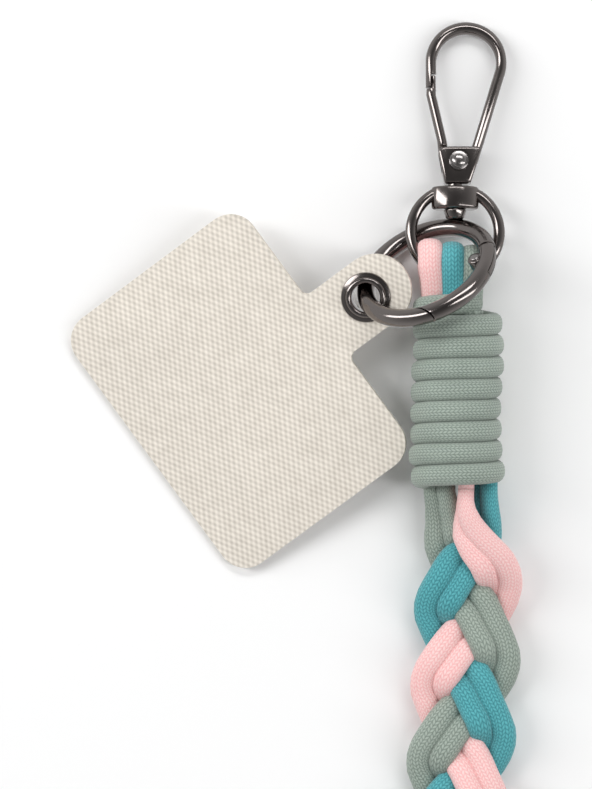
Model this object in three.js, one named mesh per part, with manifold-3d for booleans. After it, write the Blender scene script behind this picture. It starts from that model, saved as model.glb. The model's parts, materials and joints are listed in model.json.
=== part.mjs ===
// Phone crossbody strap, laid out flat: a plaited strap with a wrapped end and a swivel snap hook,
// and a woven patch hung on a round gate ring. Millimetres, +Z up, +Y from the plait to the hook.
import * as THREE from 'three';
import { mergeVertices } from 'three/addons/utils/BufferGeometryUtils.js';
import Module from 'manifold-3d';

// Gaps: between pieces that touch or turn on each other
const SEAT_GAP = 0.3;

// Hook and swivel, measured from the centre of the swivel's ring
const HOOK_TIP_REACH = 41.9;
const HOOK_DEPTH = 3;
const HOOK_WIRE = 2.1;
const BOW_RADIUS = 6.95;
const BOW_OFFSET = 2.3;
const ARM_LEAN = THREE.MathUtils.degToRad(17);
const NOSE_LIP = 5;
const NOSE_STEP = 2.7;
const CHEEK_BOTTOM = 9.55;
const CHEEK_HEIGHT = 7.35;
const CHEEK_DEPTH = 4.4;
const CHEEK_LEFT = -3.35;
const CHEEK_CORNER = 1.2;
const NECK_LEFT = -2.4;
const NECK_RIGHT = 3.1;
const NECK_HEIGHT = 0.8;
const RIVET_X = 0.73;
const RIVET_RISE = 4.45;
const RIVET_RADIUS = 1;
const RIVET_HEAD = 1.95;
const RIVET_DOME = 0.8;
const GATE_DEPTH = 1.6;
const GATE_EYE = 1.9;
const GATE_WIDTH = 1.9;
const GATE_SHOULDER_RISE = 1.1;
const SWIVEL_GAP = 0.5;
const STEM_RADIUS = 1.45;
const STEM_HEAD = 2.15;
const STEM_HEAD_HEIGHT = 1;
const BLOCK_WIDTH = 9.3;
const BLOCK_HEIGHT = 4.5;
const BLOCK_DEPTH = 5.5;
const BLOCK_CHAMFER = 0.9;
const EYE_RADIUS = 8.67;
const EYE_WIRE = 2.26;

// Round gate ring
const RING_RADIUS = 12.77;
const RING_WIRE = 3.6;
const RING_HINGE_FROM = THREE.MathUtils.degToRad(11.5);
const RING_PIN_AT = THREE.MathUtils.degToRad(28.5);
const RING_SLOT_END = THREE.MathUtils.degToRad(47);
const RING_GATE_TO = THREE.MathUtils.degToRad(111);
const RING_SEAM_LEAN = THREE.MathUtils.degToRad(52);
const RING_PIN_INSET = 2;
const RING_PIN_RADIUS = 0.65;
const RING_KNUCKLE = 1.35;
const RING_KNUCKLE_DEPTH = 3;
const RING_TONGUE = 1;

// How the rings lie: the gate ring leans on its lower left side, the hook on its tip
const RING_CENTRE_X = -5.79;
const RING_CENTRE_Y = 24.97;
const RING_ALONG = THREE.MathUtils.degToRad(28.2);
const RING_TILT = THREE.MathUtils.degToRad(53);
const EYE_CENTRE_Y = 33;
const EYE_CENTRE_Z = 6.8;

// Patch and eyelet
const PATCH_LONG = 60;
const PATCH_DEEP = 44;
const PATCH_THICK = 1.6;
const PATCH_CORNER = 5.5;
const PATCH_TURN = THREE.MathUtils.degToRad(36.3);
const TAB_WIDTH = 14.4;
const TAB_LENGTH = 19.2;
const TAB_FILLET = 1.6;
const TAB_THICK = 1.48;
const EYELET_INSET = 9.8;
const EYELET_HOLE = 3;
const EYELET_BARREL = 3.6;
const EYELET_FLANGE = 5;
const EYELET_LIP = 0.45;
const EYELET_EDGE = 0.3;
const EYELET_GAP = 0.25;
const EYELET_AT = THREE.MathUtils.degToRad(190);

// Whipping: a cord wound round all six cords, with a narrower first turn
const WRAP_TOP = 22;
const WRAP_RADIUS = 8.7;
const WRAP_AXIS_X = 0.2;
const WRAP_PITCH = 4.1;
const WRAP_TURNS = 8;
const WRAP_GROOVE = 1.1;
const FIRST_TURN_RADIUS = 6.9;
const FIRST_TURN_SHIFT = -1.7;
const FIRST_TURN_LENGTH = 6.2;

// Cord loops over the swivel's ring
const LOOP_CORD = 3.7;
const LOOP_PINCH = 0.82;
const LOOP_SPREAD_AT_WRAP = 3.6;
const LOOPS = [
  { name: 'pink', x: -4.65, rise: 26.3, bend: 3.7 },
  { name: 'teal', x: -0.65, rise: 25.7, bend: 3.7 },
  { name: 'sage', x: 3.35, rise: 25.35, bend: 3.4 },
];

// Plait: three strands of two cords each
const CORD = 3.6;
const CORD_GAP = 0.45;
const PLAIT_HALF = 5.2;
const PLAIT_RISE = 2.4;
const PLAIT_SKEW = 0.12;
const REPEAT_STEPS = 12;
const REPEAT_LENGTH = 45.4;
const FIRST_STEP = -2;
const PINCH = 0.74;
const PINCH_STEPS = 4;
const SETTLE_ROUNDS = 260;
const SETTLE_TENSION = 0.05;
const SETTLE_PULL = 0.2;
const SETTLE_PUSH = 0.35;
const SETTLE_LONGEST_MOVE = 0.3;
const STRANDS = ['pink', 'sage', 'teal'];
const STRETCHES = [
  { name: 'near', sides: 6 },
  { name: 'bend', sides: 4 },
  { name: 'far', sides: 4 },
];

// Route of the plait: down the near leg, round the bend and back up the far leg. The legs' points are
// chosen by hand, as sideways and downward distances from their whipping and the height of the middle
const FAR_END_X = 118;
const LEG_LENGTH = 328;
const PLAIT_HEIGHT = 4.6;
const NEAR_LEG = [
  { x: 0.6, down: 0, up: 3.2 },
  { x: 2.6, down: 20, up: 0.5 },
  { x: 1.4, down: 49, up: 0 },
  { x: -1, down: 103, up: 0 },
  { x: -2, down: 173, up: 0 },
  { x: -1, down: 253, up: 0 },
];
const FAR_LEG = [
  { x: 0.6, down: 0, up: 3.2 },
  { x: 1.4, down: 20, up: 0.5 },
  { x: 0.6, down: 49, up: 0 },
  { x: 0.5, down: 103, up: 0 },
  { x: 2, down: 173, up: 0 },
  { x: 2, down: 253, up: 0 },
];

const gunmetal = new THREE.MeshStandardMaterial({ color: 0x55524f, roughness: 0.25, metalness: 1 });
const darkPin = new THREE.MeshStandardMaterial({ color: 0x3f3d3c, roughness: 0.3, metalness: 1 });
const creamWeave = new THREE.MeshStandardMaterial({ color: 0xe9e1d3, roughness: 0.9, metalness: 0 });
const cordColours = {
  pink: new THREE.MeshStandardMaterial({ color: 0xe2a3a6, roughness: 0.85, metalness: 0 }),
  teal: new THREE.MeshStandardMaterial({ color: 0x4db3bf, roughness: 0.85, metalness: 0 }),
  sage: new THREE.MeshStandardMaterial({ color: 0xb9c4b0, roughness: 0.85, metalness: 0 }),
};

const wasm = await Module();
wasm.setup();

// Geometry helpers

function toSolid(geometry) {
  const bare = geometry.clone();
  bare.deleteAttribute('normal');
  bare.deleteAttribute('uv');
  const merged = mergeVertices(bare, 1e-4);
  return new wasm.Manifold(new wasm.Mesh({
    numProp: 3,
    vertProperties: new Float32Array(merged.attributes.position.array),
    triVerts: new Uint32Array(merged.index.array),
  }));
}

function toGeometry(solid) {
  const mesh = solid.getMesh();
  const geometry = new THREE.BufferGeometry();
  geometry.setAttribute('position', new THREE.BufferAttribute(new Float32Array(mesh.vertProperties), 3));
  geometry.setIndex(new THREE.BufferAttribute(new Uint32Array(mesh.triVerts), 1));
  geometry.computeVertexNormals();
  return geometry;
}

function enclosedVolume(positions, faces) {
  let volume = 0;
  for (let i = 0; i < faces.length; i += 3) {
    const [a, b, c] = [faces[i], faces[i + 1], faces[i + 2]].map((at) => positions[at]);
    volume += a.dot(b.clone().cross(c)) / 6;
  }
  return volume;
}

// Skins a row of like outlines into one closed body: capped at both ends, or joined end to end
function loft(outlines, joined = false) {
  const positions = outlines.flat();
  const sides = outlines[0].length;
  const rows = outlines.length;
  const faces = [];
  const spans = joined ? rows : rows - 1;
  for (let row = 0; row < spans; row += 1) {
    const here = row * sides;
    const there = ((row + 1) % rows) * sides;
    for (let side = 0; side < sides; side += 1) {
      const next = (side + 1) % sides;
      faces.push(here + side, there + side, there + next);
      faces.push(here + side, there + next, here + next);
    }
  }
  if (!joined) {
    const last = (rows - 1) * sides;
    for (let side = 1; side < sides - 1; side += 1) {
      faces.push(0, side, side + 1);
      faces.push(last, last + side + 1, last + side);
    }
  }
  if (enclosedVolume(positions, faces) < 0) {
    faces.reverse();
  }
  const geometry = new THREE.BufferGeometry().setFromPoints(positions);
  geometry.setIndex(faces);
  geometry.computeVertexNormals();
  return geometry;
}

function oval(centre, across, up, halfWidth, halfHeight, sides) {
  return Array.from({ length: sides }, (_, i) => {
    const turn = ((i + 0.5) * 2 * Math.PI) / sides;
    return centre.clone()
      .addScaledVector(across, Math.cos(turn) * halfWidth)
      .addScaledVector(up, Math.sin(turn) * halfHeight);
  });
}

// A bar bent in a plane: an oval section carried along points, with one axis of it square to the plane
function bentBar(points, planeNormal, width, depth, sides) {
  return loft(points.map((point, i) => {
    const before = points[Math.max(0, i - 1)];
    const after = points[Math.min(points.length - 1, i + 1)];
    const along = after.clone().sub(before).normalize();
    const across = planeNormal.clone().cross(along).normalize();
    return oval(point, across, planeNormal, width / 2, depth / 2, sides);
  }));
}

function ringArc(radius, wire, from, to, steps, sides) {
  const up = new THREE.Vector3(0, 0, 1);
  const outlines = Array.from({ length: steps + 1 }, (_, i) => {
    const turn = from + ((to - from) * i) / steps;
    const outward = new THREE.Vector3(Math.cos(turn), Math.sin(turn), 0);
    return oval(outward.clone().multiplyScalar(radius), outward, up, wire / 2, wire / 2, sides);
  });
  return loft(outlines);
}

function plate(outline, depth) {
  const geometry = new THREE.ExtrudeGeometry(outline, { depth, bevelEnabled: false, curveSegments: 8 });
  return geometry.translate(0, 0, -depth / 2);
}

function polygon(corners) {
  return new THREE.Shape(corners.map(([x, y]) => new THREE.Vector2(x, y)));
}

function disc(x, y, radius) {
  return new THREE.Shape().absarc(x, y, radius, 0, 2 * Math.PI);
}

function upright(radius, height, x, y, sides = 16) {
  return new THREE.CylinderGeometry(radius, radius, height, sides).rotateX(Math.PI / 2).translate(x, y, 0);
}

function named(name, geometry, material) {
  const mesh = new THREE.Mesh(geometry, material);
  mesh.name = name;
  return mesh;
}

// Snap hook, lying in its own XY plane with the swivel ring's centre at the origin

const BOW_Y = HOOK_TIP_REACH - BOW_RADIUS - HOOK_WIRE / 2;
const BOW_LEFT = BOW_OFFSET - BOW_RADIUS;
const NOSE_END = BOW_Y - NOSE_LIP;
const NOSE_CUT = NOSE_END + NOSE_STEP;
const CHEEK_TOP = CHEEK_BOTTOM + CHEEK_HEIGHT;
const RIVET_Y = CHEEK_BOTTOM + RIVET_RISE;
const BLOCK_TOP = CHEEK_BOTTOM - SWIVEL_GAP;
const BLOCK_BOTTOM = BLOCK_TOP - BLOCK_HEIGHT;
const GATE_SHOULDER = CHEEK_TOP + GATE_SHOULDER_RISE;

function armPoint(y) {
  const leaveX = BOW_OFFSET + BOW_RADIUS * Math.cos(ARM_LEAN);
  const leaveY = BOW_Y - BOW_RADIUS * Math.sin(ARM_LEAN);
  return new THREE.Vector3(leaveX - (leaveY - y) * Math.tan(ARM_LEAN), y, 0);
}

function bowBar() {
  const points = [new THREE.Vector3(BOW_LEFT, NOSE_END, 0)];
  const arcSteps = 12;
  for (let i = 0; i <= arcSteps; i += 1) {
    const turn = Math.PI - ((Math.PI + ARM_LEAN) * i) / arcSteps;
    const spoke = new THREE.Vector3(Math.cos(turn), Math.sin(turn), 0).multiplyScalar(BOW_RADIUS);
    points.push(spoke.add(new THREE.Vector3(BOW_OFFSET, BOW_Y, 0)));
  }
  points.push(armPoint(CHEEK_TOP), armPoint(RIVET_Y));
  return bentBar(points, new THREE.Vector3(0, 0, 1), HOOK_WIRE, HOOK_DEPTH, 8);
}

function cheekOutline() {
  const armOuter = armPoint(CHEEK_TOP).x + HOOK_WIRE / 2;
  return polygon([
    [NECK_LEFT, CHEEK_BOTTOM],
    [NECK_RIGHT, CHEEK_BOTTOM],
    [NECK_RIGHT, CHEEK_BOTTOM + NECK_HEIGHT],
    [armOuter - CHEEK_CORNER * 0.8, RIVET_Y],
    [armOuter - CHEEK_CORNER * 0.3, CHEEK_TOP - CHEEK_CORNER / 2],
    [armOuter - CHEEK_CORNER, CHEEK_TOP],
    [CHEEK_LEFT + CHEEK_CORNER, CHEEK_TOP],
    [CHEEK_LEFT, CHEEK_TOP - CHEEK_CORNER / 2],
  ]);
}

function stemParts() {
  const stemTop = CHEEK_BOTTOM + NECK_HEIGHT / 2;
  const headTop = BLOCK_BOTTOM - SEAT_GAP;
  const headBottom = headTop - STEM_HEAD_HEIGHT;
  return toSolid(new THREE.LatheGeometry([
    new THREE.Vector2(0, headBottom),
    new THREE.Vector2(STEM_HEAD * 0.8, headBottom),
    new THREE.Vector2(STEM_HEAD, headBottom + STEM_HEAD_HEIGHT / 2),
    new THREE.Vector2(STEM_HEAD, headTop),
    new THREE.Vector2(STEM_RADIUS, headTop),
    new THREE.Vector2(STEM_RADIUS, stemTop),
    new THREE.Vector2(0, stemTop),
  ], 12));
}

function gateSlot() {
  const slotDepth = GATE_DEPTH + 2 * SEAT_GAP;
  const slotRight = RIVET_X + GATE_EYE + SEAT_GAP;
  const slotBottom = RIVET_Y - GATE_EYE - SEAT_GAP;
  const slotLeft = CHEEK_LEFT - CHEEK_CORNER;
  const slotTop = CHEEK_TOP + CHEEK_CORNER;
  const slot = polygon([
    [slotLeft, slotBottom],
    [slotRight, slotBottom],
    [slotRight, slotTop],
    [slotLeft, slotTop],
  ]);
  return toSolid(plate(slot, slotDepth));
}

function hookBody() {
  const cutLength = NOSE_STEP * 1.4;
  const noseCut = new THREE.BoxGeometry(HOOK_WIRE, cutLength, HOOK_DEPTH + 1)
    .translate(BOW_LEFT + HOOK_WIRE / 2, NOSE_CUT - cutLength / 2, 0);
  const pinHole = upright(RIVET_RADIUS + SEAT_GAP, CHEEK_DEPTH + 1, RIVET_X, RIVET_Y, 12);
  return toGeometry(toSolid(bowBar())
    .subtract(toSolid(noseCut))
    .add(toSolid(plate(cheekOutline(), CHEEK_DEPTH)))
    .subtract(gateSlot())
    .subtract(toSolid(pinHole))
    .add(stemParts()));
}

function hookGate() {
  const lipLeft = BOW_LEFT + SEAT_GAP;
  const lipRight = lipLeft + GATE_WIDTH / 2;
  const lipTop = NOSE_CUT - SEAT_GAP;
  const shoulder = NOSE_END - SEAT_GAP;
  const lever = polygon([
    [RIVET_X - GATE_EYE, RIVET_Y],
    [RIVET_X + GATE_EYE * 0.8, RIVET_Y + GATE_EYE / 2],
    [CHEEK_LEFT + GATE_WIDTH, GATE_SHOULDER + GATE_WIDTH / 2],
    [lipRight, shoulder],
    [lipRight, lipTop],
    [lipLeft, lipTop],
    [lipLeft, shoulder],
    [lipLeft - GATE_WIDTH / 2, shoulder],
    [CHEEK_LEFT, GATE_SHOULDER],
  ]);
  const pinHole = upright(RIVET_RADIUS + SEAT_GAP, GATE_DEPTH + 1, RIVET_X, RIVET_Y, 12);
  return toGeometry(toSolid(plate(lever, GATE_DEPTH))
    .add(toSolid(plate(disc(RIVET_X, RIVET_Y, GATE_EYE), GATE_DEPTH)))
    .subtract(toSolid(pinHole)));
}

function hookRivet() {
  const seat = CHEEK_DEPTH / 2 + SEAT_GAP;
  const half = [
    [RIVET_RADIUS, 0],
    [RIVET_RADIUS, seat],
    [RIVET_HEAD, seat],
    [RIVET_HEAD * 0.8, seat + RIVET_DOME * 0.6],
    [RIVET_HEAD * 0.4, seat + RIVET_DOME * 0.93],
    [0, seat + RIVET_DOME],
  ];
  const lower = half.slice(1).reverse().map(([r, z]) => [r, -z]);
  const profile = [...lower, ...half.slice(1)].map(([r, z]) => new THREE.Vector2(r, z));
  return new THREE.LatheGeometry(profile, 12).rotateX(Math.PI / 2).translate(RIVET_X, RIVET_Y, 0);
}

function blockSolid() {
  const half = BLOCK_WIDTH / 2;
  const block = polygon([
    [-half, BLOCK_BOTTOM + BLOCK_CHAMFER],
    [-half + BLOCK_CHAMFER, BLOCK_BOTTOM],
    [half - BLOCK_CHAMFER, BLOCK_BOTTOM],
    [half, BLOCK_BOTTOM + BLOCK_CHAMFER],
    [half, BLOCK_TOP - BLOCK_CHAMFER],
    [half - BLOCK_CHAMFER, BLOCK_TOP],
    [-half + BLOCK_CHAMFER, BLOCK_TOP],
    [-half, BLOCK_TOP - BLOCK_CHAMFER],
  ]);
  return toSolid(plate(block, BLOCK_DEPTH));
}

function eyeSolid(steps) {
  const hidden = Math.acos((BLOCK_WIDTH / 2 - 1) / EYE_RADIUS);
  return toSolid(ringArc(EYE_RADIUS, EYE_WIRE, Math.PI - hidden, 2 * Math.PI + hidden, steps, 8));
}

function swivelEye() {
  const boreRadius = STEM_RADIUS + SEAT_GAP;
  const bore = new THREE.CylinderGeometry(boreRadius, boreRadius, BLOCK_HEIGHT * 1.5, 16)
    .translate(0, (BLOCK_TOP + BLOCK_BOTTOM) / 2, 0);
  return toGeometry(blockSolid().add(eyeSolid(20)).subtract(toSolid(bore)));
}

// The far end's hook is one plain closed piece
function plainHook() {
  const neck = new THREE.CylinderGeometry(STEM_RADIUS, STEM_RADIUS, 4 * SWIVEL_GAP, 10)
    .translate(0, CHEEK_BOTTOM, 0);
  const bar = bentBar([
    new THREE.Vector3(BOW_LEFT, NOSE_END + HOOK_WIRE / 2, 0),
    new THREE.Vector3(BOW_LEFT, NOSE_END - HOOK_WIRE / 2, 0),
    new THREE.Vector3(CHEEK_LEFT + GATE_WIDTH / 2, GATE_SHOULDER, 0),
    new THREE.Vector3(RIVET_X - GATE_EYE / 2, RIVET_Y, 0),
  ], new THREE.Vector3(0, 0, 1), GATE_WIDTH, HOOK_DEPTH * 0.9, 8);
  return toGeometry(toSolid(bowBar())
    .add(toSolid(plate(cheekOutline(), CHEEK_DEPTH)))
    .add(toSolid(bar))
    .add(toSolid(neck))
    .add(blockSolid())
    .add(eyeSolid(18)));
}

// Round gate ring, lying in its own XY plane

const PIN_RADIUS_AT = RING_RADIUS - RING_PIN_INSET;
const PIN_X = PIN_RADIUS_AT * Math.cos(RING_PIN_AT);
const PIN_Y = PIN_RADIUS_AT * Math.sin(RING_PIN_AT);
const RING_SEAM = SEAT_GAP / RING_RADIUS;

function ringKnuckle(depth) {
  return toSolid(upright(RING_KNUCKLE, depth, PIN_X, PIN_Y, 10));
}

function ringPinHole() {
  return toSolid(upright(RING_PIN_RADIUS + SEAT_GAP, RING_WIRE + 1, PIN_X, PIN_Y, 10));
}

// The gate's seam leans, so that the gate's end can swing inwards past the ring's own end
function besideSeam(side) {
  const inwards = RING_GATE_TO + Math.PI - RING_SEAM_LEAN;
  const alongSeam = new THREE.Vector2(Math.cos(inwards), Math.sin(inwards));
  const away = new THREE.Vector2(alongSeam.y, -alongSeam.x).multiplyScalar(side);
  const middle = new THREE.Vector2(Math.cos(RING_GATE_TO), Math.sin(RING_GATE_TO))
    .multiplyScalar(RING_RADIUS)
    .addScaledVector(away, -SEAT_GAP / 2);
  const corners = [[-1, 0], [1, 0], [1, 2], [-1, 2]].map(([up, out]) => middle.clone()
    .addScaledVector(alongSeam, 2 * RING_WIRE * up)
    .addScaledVector(away, RING_WIRE * out));
  return toSolid(plate(new THREE.Shape(corners), 2 * RING_WIRE));
}

function ringBody() {
  const to = 2 * Math.PI + RING_HINGE_FROM;
  const from = RING_GATE_TO - RING_WIRE / RING_RADIUS;
  const arc = toSolid(ringArc(RING_RADIUS, RING_WIRE, from, to, 19, 8)).subtract(besideSeam(-1));
  const tongueArc = ringArc(RING_RADIUS, RING_WIRE * 0.94, RING_HINGE_FROM - 0.1, RING_PIN_AT, 3, 8);
  const layer = toSolid(plate(disc(0, 0, RING_RADIUS + RING_WIRE), RING_TONGUE));
  const tongue = toSolid(tongueArc).intersect(layer).add(ringKnuckle(RING_TONGUE));
  return toGeometry(arc.add(tongue).subtract(ringPinHole()));
}

function ringGate() {
  const from = RING_HINGE_FROM + RING_SEAM;
  const to = RING_GATE_TO + RING_WIRE / RING_RADIUS;
  const arc = toSolid(ringArc(RING_RADIUS, RING_WIRE, from, to, 8, 8)).subtract(besideSeam(1));
  const slotDepth = RING_TONGUE + 2 * SEAT_GAP;
  const slotReach = 2 * RING_RADIUS;
  const slot = new THREE.Shape();
  slot.moveTo(0, 0);
  slot.lineTo(slotReach * Math.cos(RING_SLOT_END), -slotReach * Math.sin(RING_SLOT_END));
  slot.lineTo(slotReach * Math.cos(RING_SLOT_END), slotReach * Math.sin(RING_SLOT_END));
  return toGeometry(arc
    .add(ringKnuckle(RING_KNUCKLE_DEPTH))
    .subtract(toSolid(plate(slot, slotDepth)))
    .subtract(ringPinHole()));
}

function ringPin() {
  return upright(RING_PIN_RADIUS, RING_KNUCKLE_DEPTH, PIN_X, PIN_Y, 10);
}

// Patch, in its own XY plane with the eyelet's centre at the origin and the tab towards +X

function patch() {
  const shoulder = -EYELET_INSET;
  const back = shoulder - PATCH_DEEP;
  const side = PATCH_LONG / 2;
  const half = TAB_WIDTH / 2;
  const tip = TAB_LENGTH - EYELET_INSET - half;
  const body = new THREE.Shape();
  body.absarc(back + PATCH_CORNER, -side + PATCH_CORNER, PATCH_CORNER, Math.PI, 1.5 * Math.PI);
  body.absarc(shoulder - PATCH_CORNER, -side + PATCH_CORNER, PATCH_CORNER, 1.5 * Math.PI, 2 * Math.PI);
  body.absarc(shoulder - PATCH_CORNER, side - PATCH_CORNER, PATCH_CORNER, 0, Math.PI / 2);
  body.absarc(back + PATCH_CORNER, side - PATCH_CORNER, PATCH_CORNER, Math.PI / 2, Math.PI);
  body.closePath();
  const tab = new THREE.Shape();
  tab.moveTo(shoulder - PATCH_CORNER, -half - TAB_FILLET);
  tab.absarc(shoulder + TAB_FILLET, -half - TAB_FILLET, TAB_FILLET, Math.PI, Math.PI / 2, true);
  tab.absarc(tip, 0, half, -Math.PI / 2, Math.PI / 2);
  tab.absarc(shoulder + TAB_FILLET, half + TAB_FILLET, TAB_FILLET, 1.5 * Math.PI, Math.PI, true);
  tab.lineTo(shoulder - PATCH_CORNER, half + TAB_FILLET);
  tab.closePath();
  tab.holes.push(new THREE.Path().absarc(0, 0, EYELET_BARREL + SEAT_GAP, 0, 2 * Math.PI, true));
  const cloth = (shape, depth) => toSolid(
    new THREE.ExtrudeGeometry(shape, { depth, bevelEnabled: false, curveSegments: 5 }).translate(0, 0, -depth / 2),
  );
  return toGeometry(cloth(body, PATCH_THICK).add(cloth(tab, TAB_THICK)));
}

function eyelet() {
  const seat = PATCH_THICK / 2 + EYELET_GAP;
  const crown = seat + EYELET_LIP;
  const shoulder = EYELET_FLANGE - EYELET_EDGE;
  const rim = crown - EYELET_EDGE;
  const profile = [[EYELET_FLANGE, seat], [EYELET_FLANGE, rim], [shoulder, crown]];
  for (let i = 0; i <= 4; i += 1) {
    const turn = Math.PI / 2 + (Math.PI * i) / 4;
    profile.push([EYELET_HOLE + crown + crown * Math.cos(turn), crown * Math.sin(turn)]);
  }
  profile.push([shoulder, -crown], [EYELET_FLANGE, -rim], [EYELET_FLANGE, -seat]);
  profile.push([EYELET_BARREL, -seat], [EYELET_BARREL, seat], [EYELET_FLANGE, seat]);
  const around = 14;
  const outlines = Array.from({ length: around }, (_, i) => {
    const turn = (2 * Math.PI * i) / around;
    return profile.slice(0, -1).map(([r, z]) => new THREE.Vector3(r * Math.cos(turn), r * Math.sin(turn), z));
  });
  return loft(outlines, true);
}

// Whipping and loops

const WRAP_LENGTH = FIRST_TURN_LENGTH + WRAP_TURNS * WRAP_PITCH;

// Outer form of the wound cord: its radius follows the turns, which climb to the right in front
function wrapSolid(rowsPerTurn, sides) {
  const rows = Math.round((WRAP_LENGTH / WRAP_PITCH) * rowsPerTurn);
  const outlines = Array.from({ length: rows + 1 }, (_, row) => {
    const down = (WRAP_LENGTH * row) / rows;
    const inFirst = Math.max(0, 1 - down / FIRST_TURN_LENGTH);
    const settle = THREE.MathUtils.smoothstep(inFirst, 0.05, 0.5);
    const centreX = WRAP_AXIS_X + FIRST_TURN_SHIFT * settle;
    const crest = THREE.MathUtils.lerp(WRAP_RADIUS, FIRST_TURN_RADIUS, settle);
    return Array.from({ length: sides }, (__, i) => {
      const turn = (2 * Math.PI * i) / sides;
      const phase = (down - FIRST_TURN_LENGTH) / WRAP_PITCH - turn / (2 * Math.PI);
      const radius = crest - WRAP_GROOVE * (1 - Math.abs(Math.sin(Math.PI * phase)));
      return new THREE.Vector3(
        centreX + radius * Math.cos(turn),
        WRAP_TOP - down,
        WRAP_RADIUS + radius * Math.sin(turn),
      );
    });
  });
  return loft(outlines);
}

const HOOK_LEAN = Math.asin((EYE_CENTRE_Z - HOOK_DEPTH / 2) / (HOOK_TIP_REACH - HOOK_WIRE / 2));

function loopSolid({ x, rise, bend }, steps, sides) {
  const wireDrop = Math.sqrt(EYE_RADIUS ** 2 - x ** 2);
  const middle = EYE_CENTRE_Z + wireDrop * Math.sin(HOOK_LEAN);
  const centre = WRAP_AXIS_X + FIRST_TURN_SHIFT / 2;
  const slot = LOOPS.findIndex((loop) => loop.x === x) - 1;
  const endX = centre + slot * LOOP_SPREAD_AT_WRAP;
  const endY = WRAP_TOP + SEAT_GAP;
  const endHalf = bend * 0.78;
  const midHalf = bend * 0.97;
  const halfTurn = bend * Math.SQRT1_2;
  const path = new THREE.CatmullRomCurve3([
    new THREE.Vector3(endX, endY, middle + endHalf),
    new THREE.Vector3((endX + x) / 2, (endY + rise) / 2, middle + midHalf),
    new THREE.Vector3(x, rise, middle + bend),
    new THREE.Vector3(x, rise + halfTurn, middle + halfTurn),
    new THREE.Vector3(x, rise + bend, middle),
    new THREE.Vector3(x, rise + halfTurn, middle - halfTurn),
    new THREE.Vector3(x, rise, middle - bend),
    new THREE.Vector3((endX + x) / 2, (endY + rise) / 2, middle - midHalf),
    new THREE.Vector3(endX, endY, middle - endHalf),
  ]);
  const sideways = new THREE.Vector3(1, 0, 0);
  return loft(Array.from({ length: steps + 1 }, (_, i) => {
    const share = i / steps;
    const nearEnd = Math.min(share, 1 - share) * 5;
    const radius = (LOOP_CORD / 2) * THREE.MathUtils.lerp(LOOP_PINCH, 1, Math.min(1, nearEnd));
    const along = path.getTangentAt(share);
    along.x = 0;
    if (i === 0 || i === steps) {
      along.set(0, i === 0 ? 1 : -1, 0);
    }
    const up = along.normalize().cross(sideways).normalize();
    return oval(path.getPointAt(share), sideways, up, radius, radius, sides);
  }));
}

// Plait

// Nearest approach of two straight stretches: the share of the first at which it lies, and the gap
function nearest(a, b, c, d) {
  const ab = b.clone().sub(a);
  const cd = d.clone().sub(c);
  const gap = a.clone().sub(c);
  const aa = ab.dot(ab);
  const cc = cd.dot(cd);
  const mixed = ab.dot(cd);
  const flat = aa * cc - mixed * mixed;
  const free = flat > 1e-9 ? (mixed * cd.dot(gap) - ab.dot(gap) * cc) / flat : 0;
  let share = THREE.MathUtils.clamp(free, 0, 1);
  const other = (mixed * share + cd.dot(gap)) / cc;
  const held = THREE.MathUtils.clamp(other, 0, 1);
  if (held !== other) {
    share = THREE.MathUtils.clamp((mixed * held - ab.dot(gap)) / aa, 0, 1);
  }
  const away = a.clone().addScaledVector(ab, share).sub(c.clone().addScaledVector(cd, held));
  return { share, away };
}

// One repeat of the plait as six cords that lie against one another without crossing into each other.
// Both cords of one strand are settled; the other strands are the same, a third of a repeat on.
function settlePlait() {
  const n = REPEAT_STEPS;
  const own = [-1, 1].map((side) => Array.from({ length: n }, (_, i) => {
    const turn = (2 * Math.PI * i) / n;
    const x = PLAIT_HALF * Math.sin(turn);
    const slope = (PLAIT_HALF * Math.cos(turn) * 2 * Math.PI) / REPEAT_LENGTH;
    const lean = Math.hypot(1, slope);
    const half = (side * CORD) / 2;
    const height = PLAIT_RISE * Math.sin(2 * turn);
    return new THREE.Vector3(x + half / lean, PLAIT_SKEW * x - (slope / lean) * half, height);
  }));
  const at = (strand, side, i) => {
    const index = (((i - (strand * n) / 3) % n) + n) % n;
    return own[side][index].clone().add(new THREE.Vector3(0, (REPEAT_LENGTH * i) / n, 0));
  };
  for (let round = 0; round < SETTLE_ROUNDS; round += 1) {
    const moves = own.map((cord) => cord.map(() => new THREE.Vector3()));
    const tension = SETTLE_TENSION * (1 - round / SETTLE_ROUNDS);
    for (let side = 0; side < 2; side += 1) {
      for (let i = 0; i < n; i += 1) {
        const here = at(0, side, i);
        const next = at(0, side, i + 1);
        const between = at(0, side, i - 1).add(next).multiplyScalar(0.5).sub(here);
        moves[side][i].addScaledVector(between, tension);
        for (let strand = 0; strand < 3; strand += 1) {
          for (let other = 0; other < 2; other += 1) {
            if (strand === 0 && other === side) {
              continue;
            }
            const found = [];
            for (let j = i - n / 3; j <= i + n / 3; j += 1) {
              found.push(nearest(here, next, at(strand, other, j), at(strand, other, j + 1)));
            }
            found.sort((p, q) => p.away.lengthSq() - q.away.lengthSq());
            const partner = strand === 0;
            const touching = partner ? found.slice(0, 1) : found.filter((one) => one.away.length() < CORD);
            touching.forEach(({ share, away }) => {
              const short = CORD - away.length();
              const push = away.setLength((partner ? SETTLE_PULL : SETTLE_PUSH) * Math.abs(short));
              push.multiplyScalar(Math.sign(short));
              moves[side][i].addScaledVector(push, 1 - share);
              moves[side][(i + 1) % n].addScaledVector(push, share);
            });
          }
        }
      }
    }
    moves.forEach((cord, side) => cord.forEach((move, i) => {
      own[side][i].add(move.clampLength(0, SETTLE_LONGEST_MOVE));
    }));
  }
  return at;
}

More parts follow.
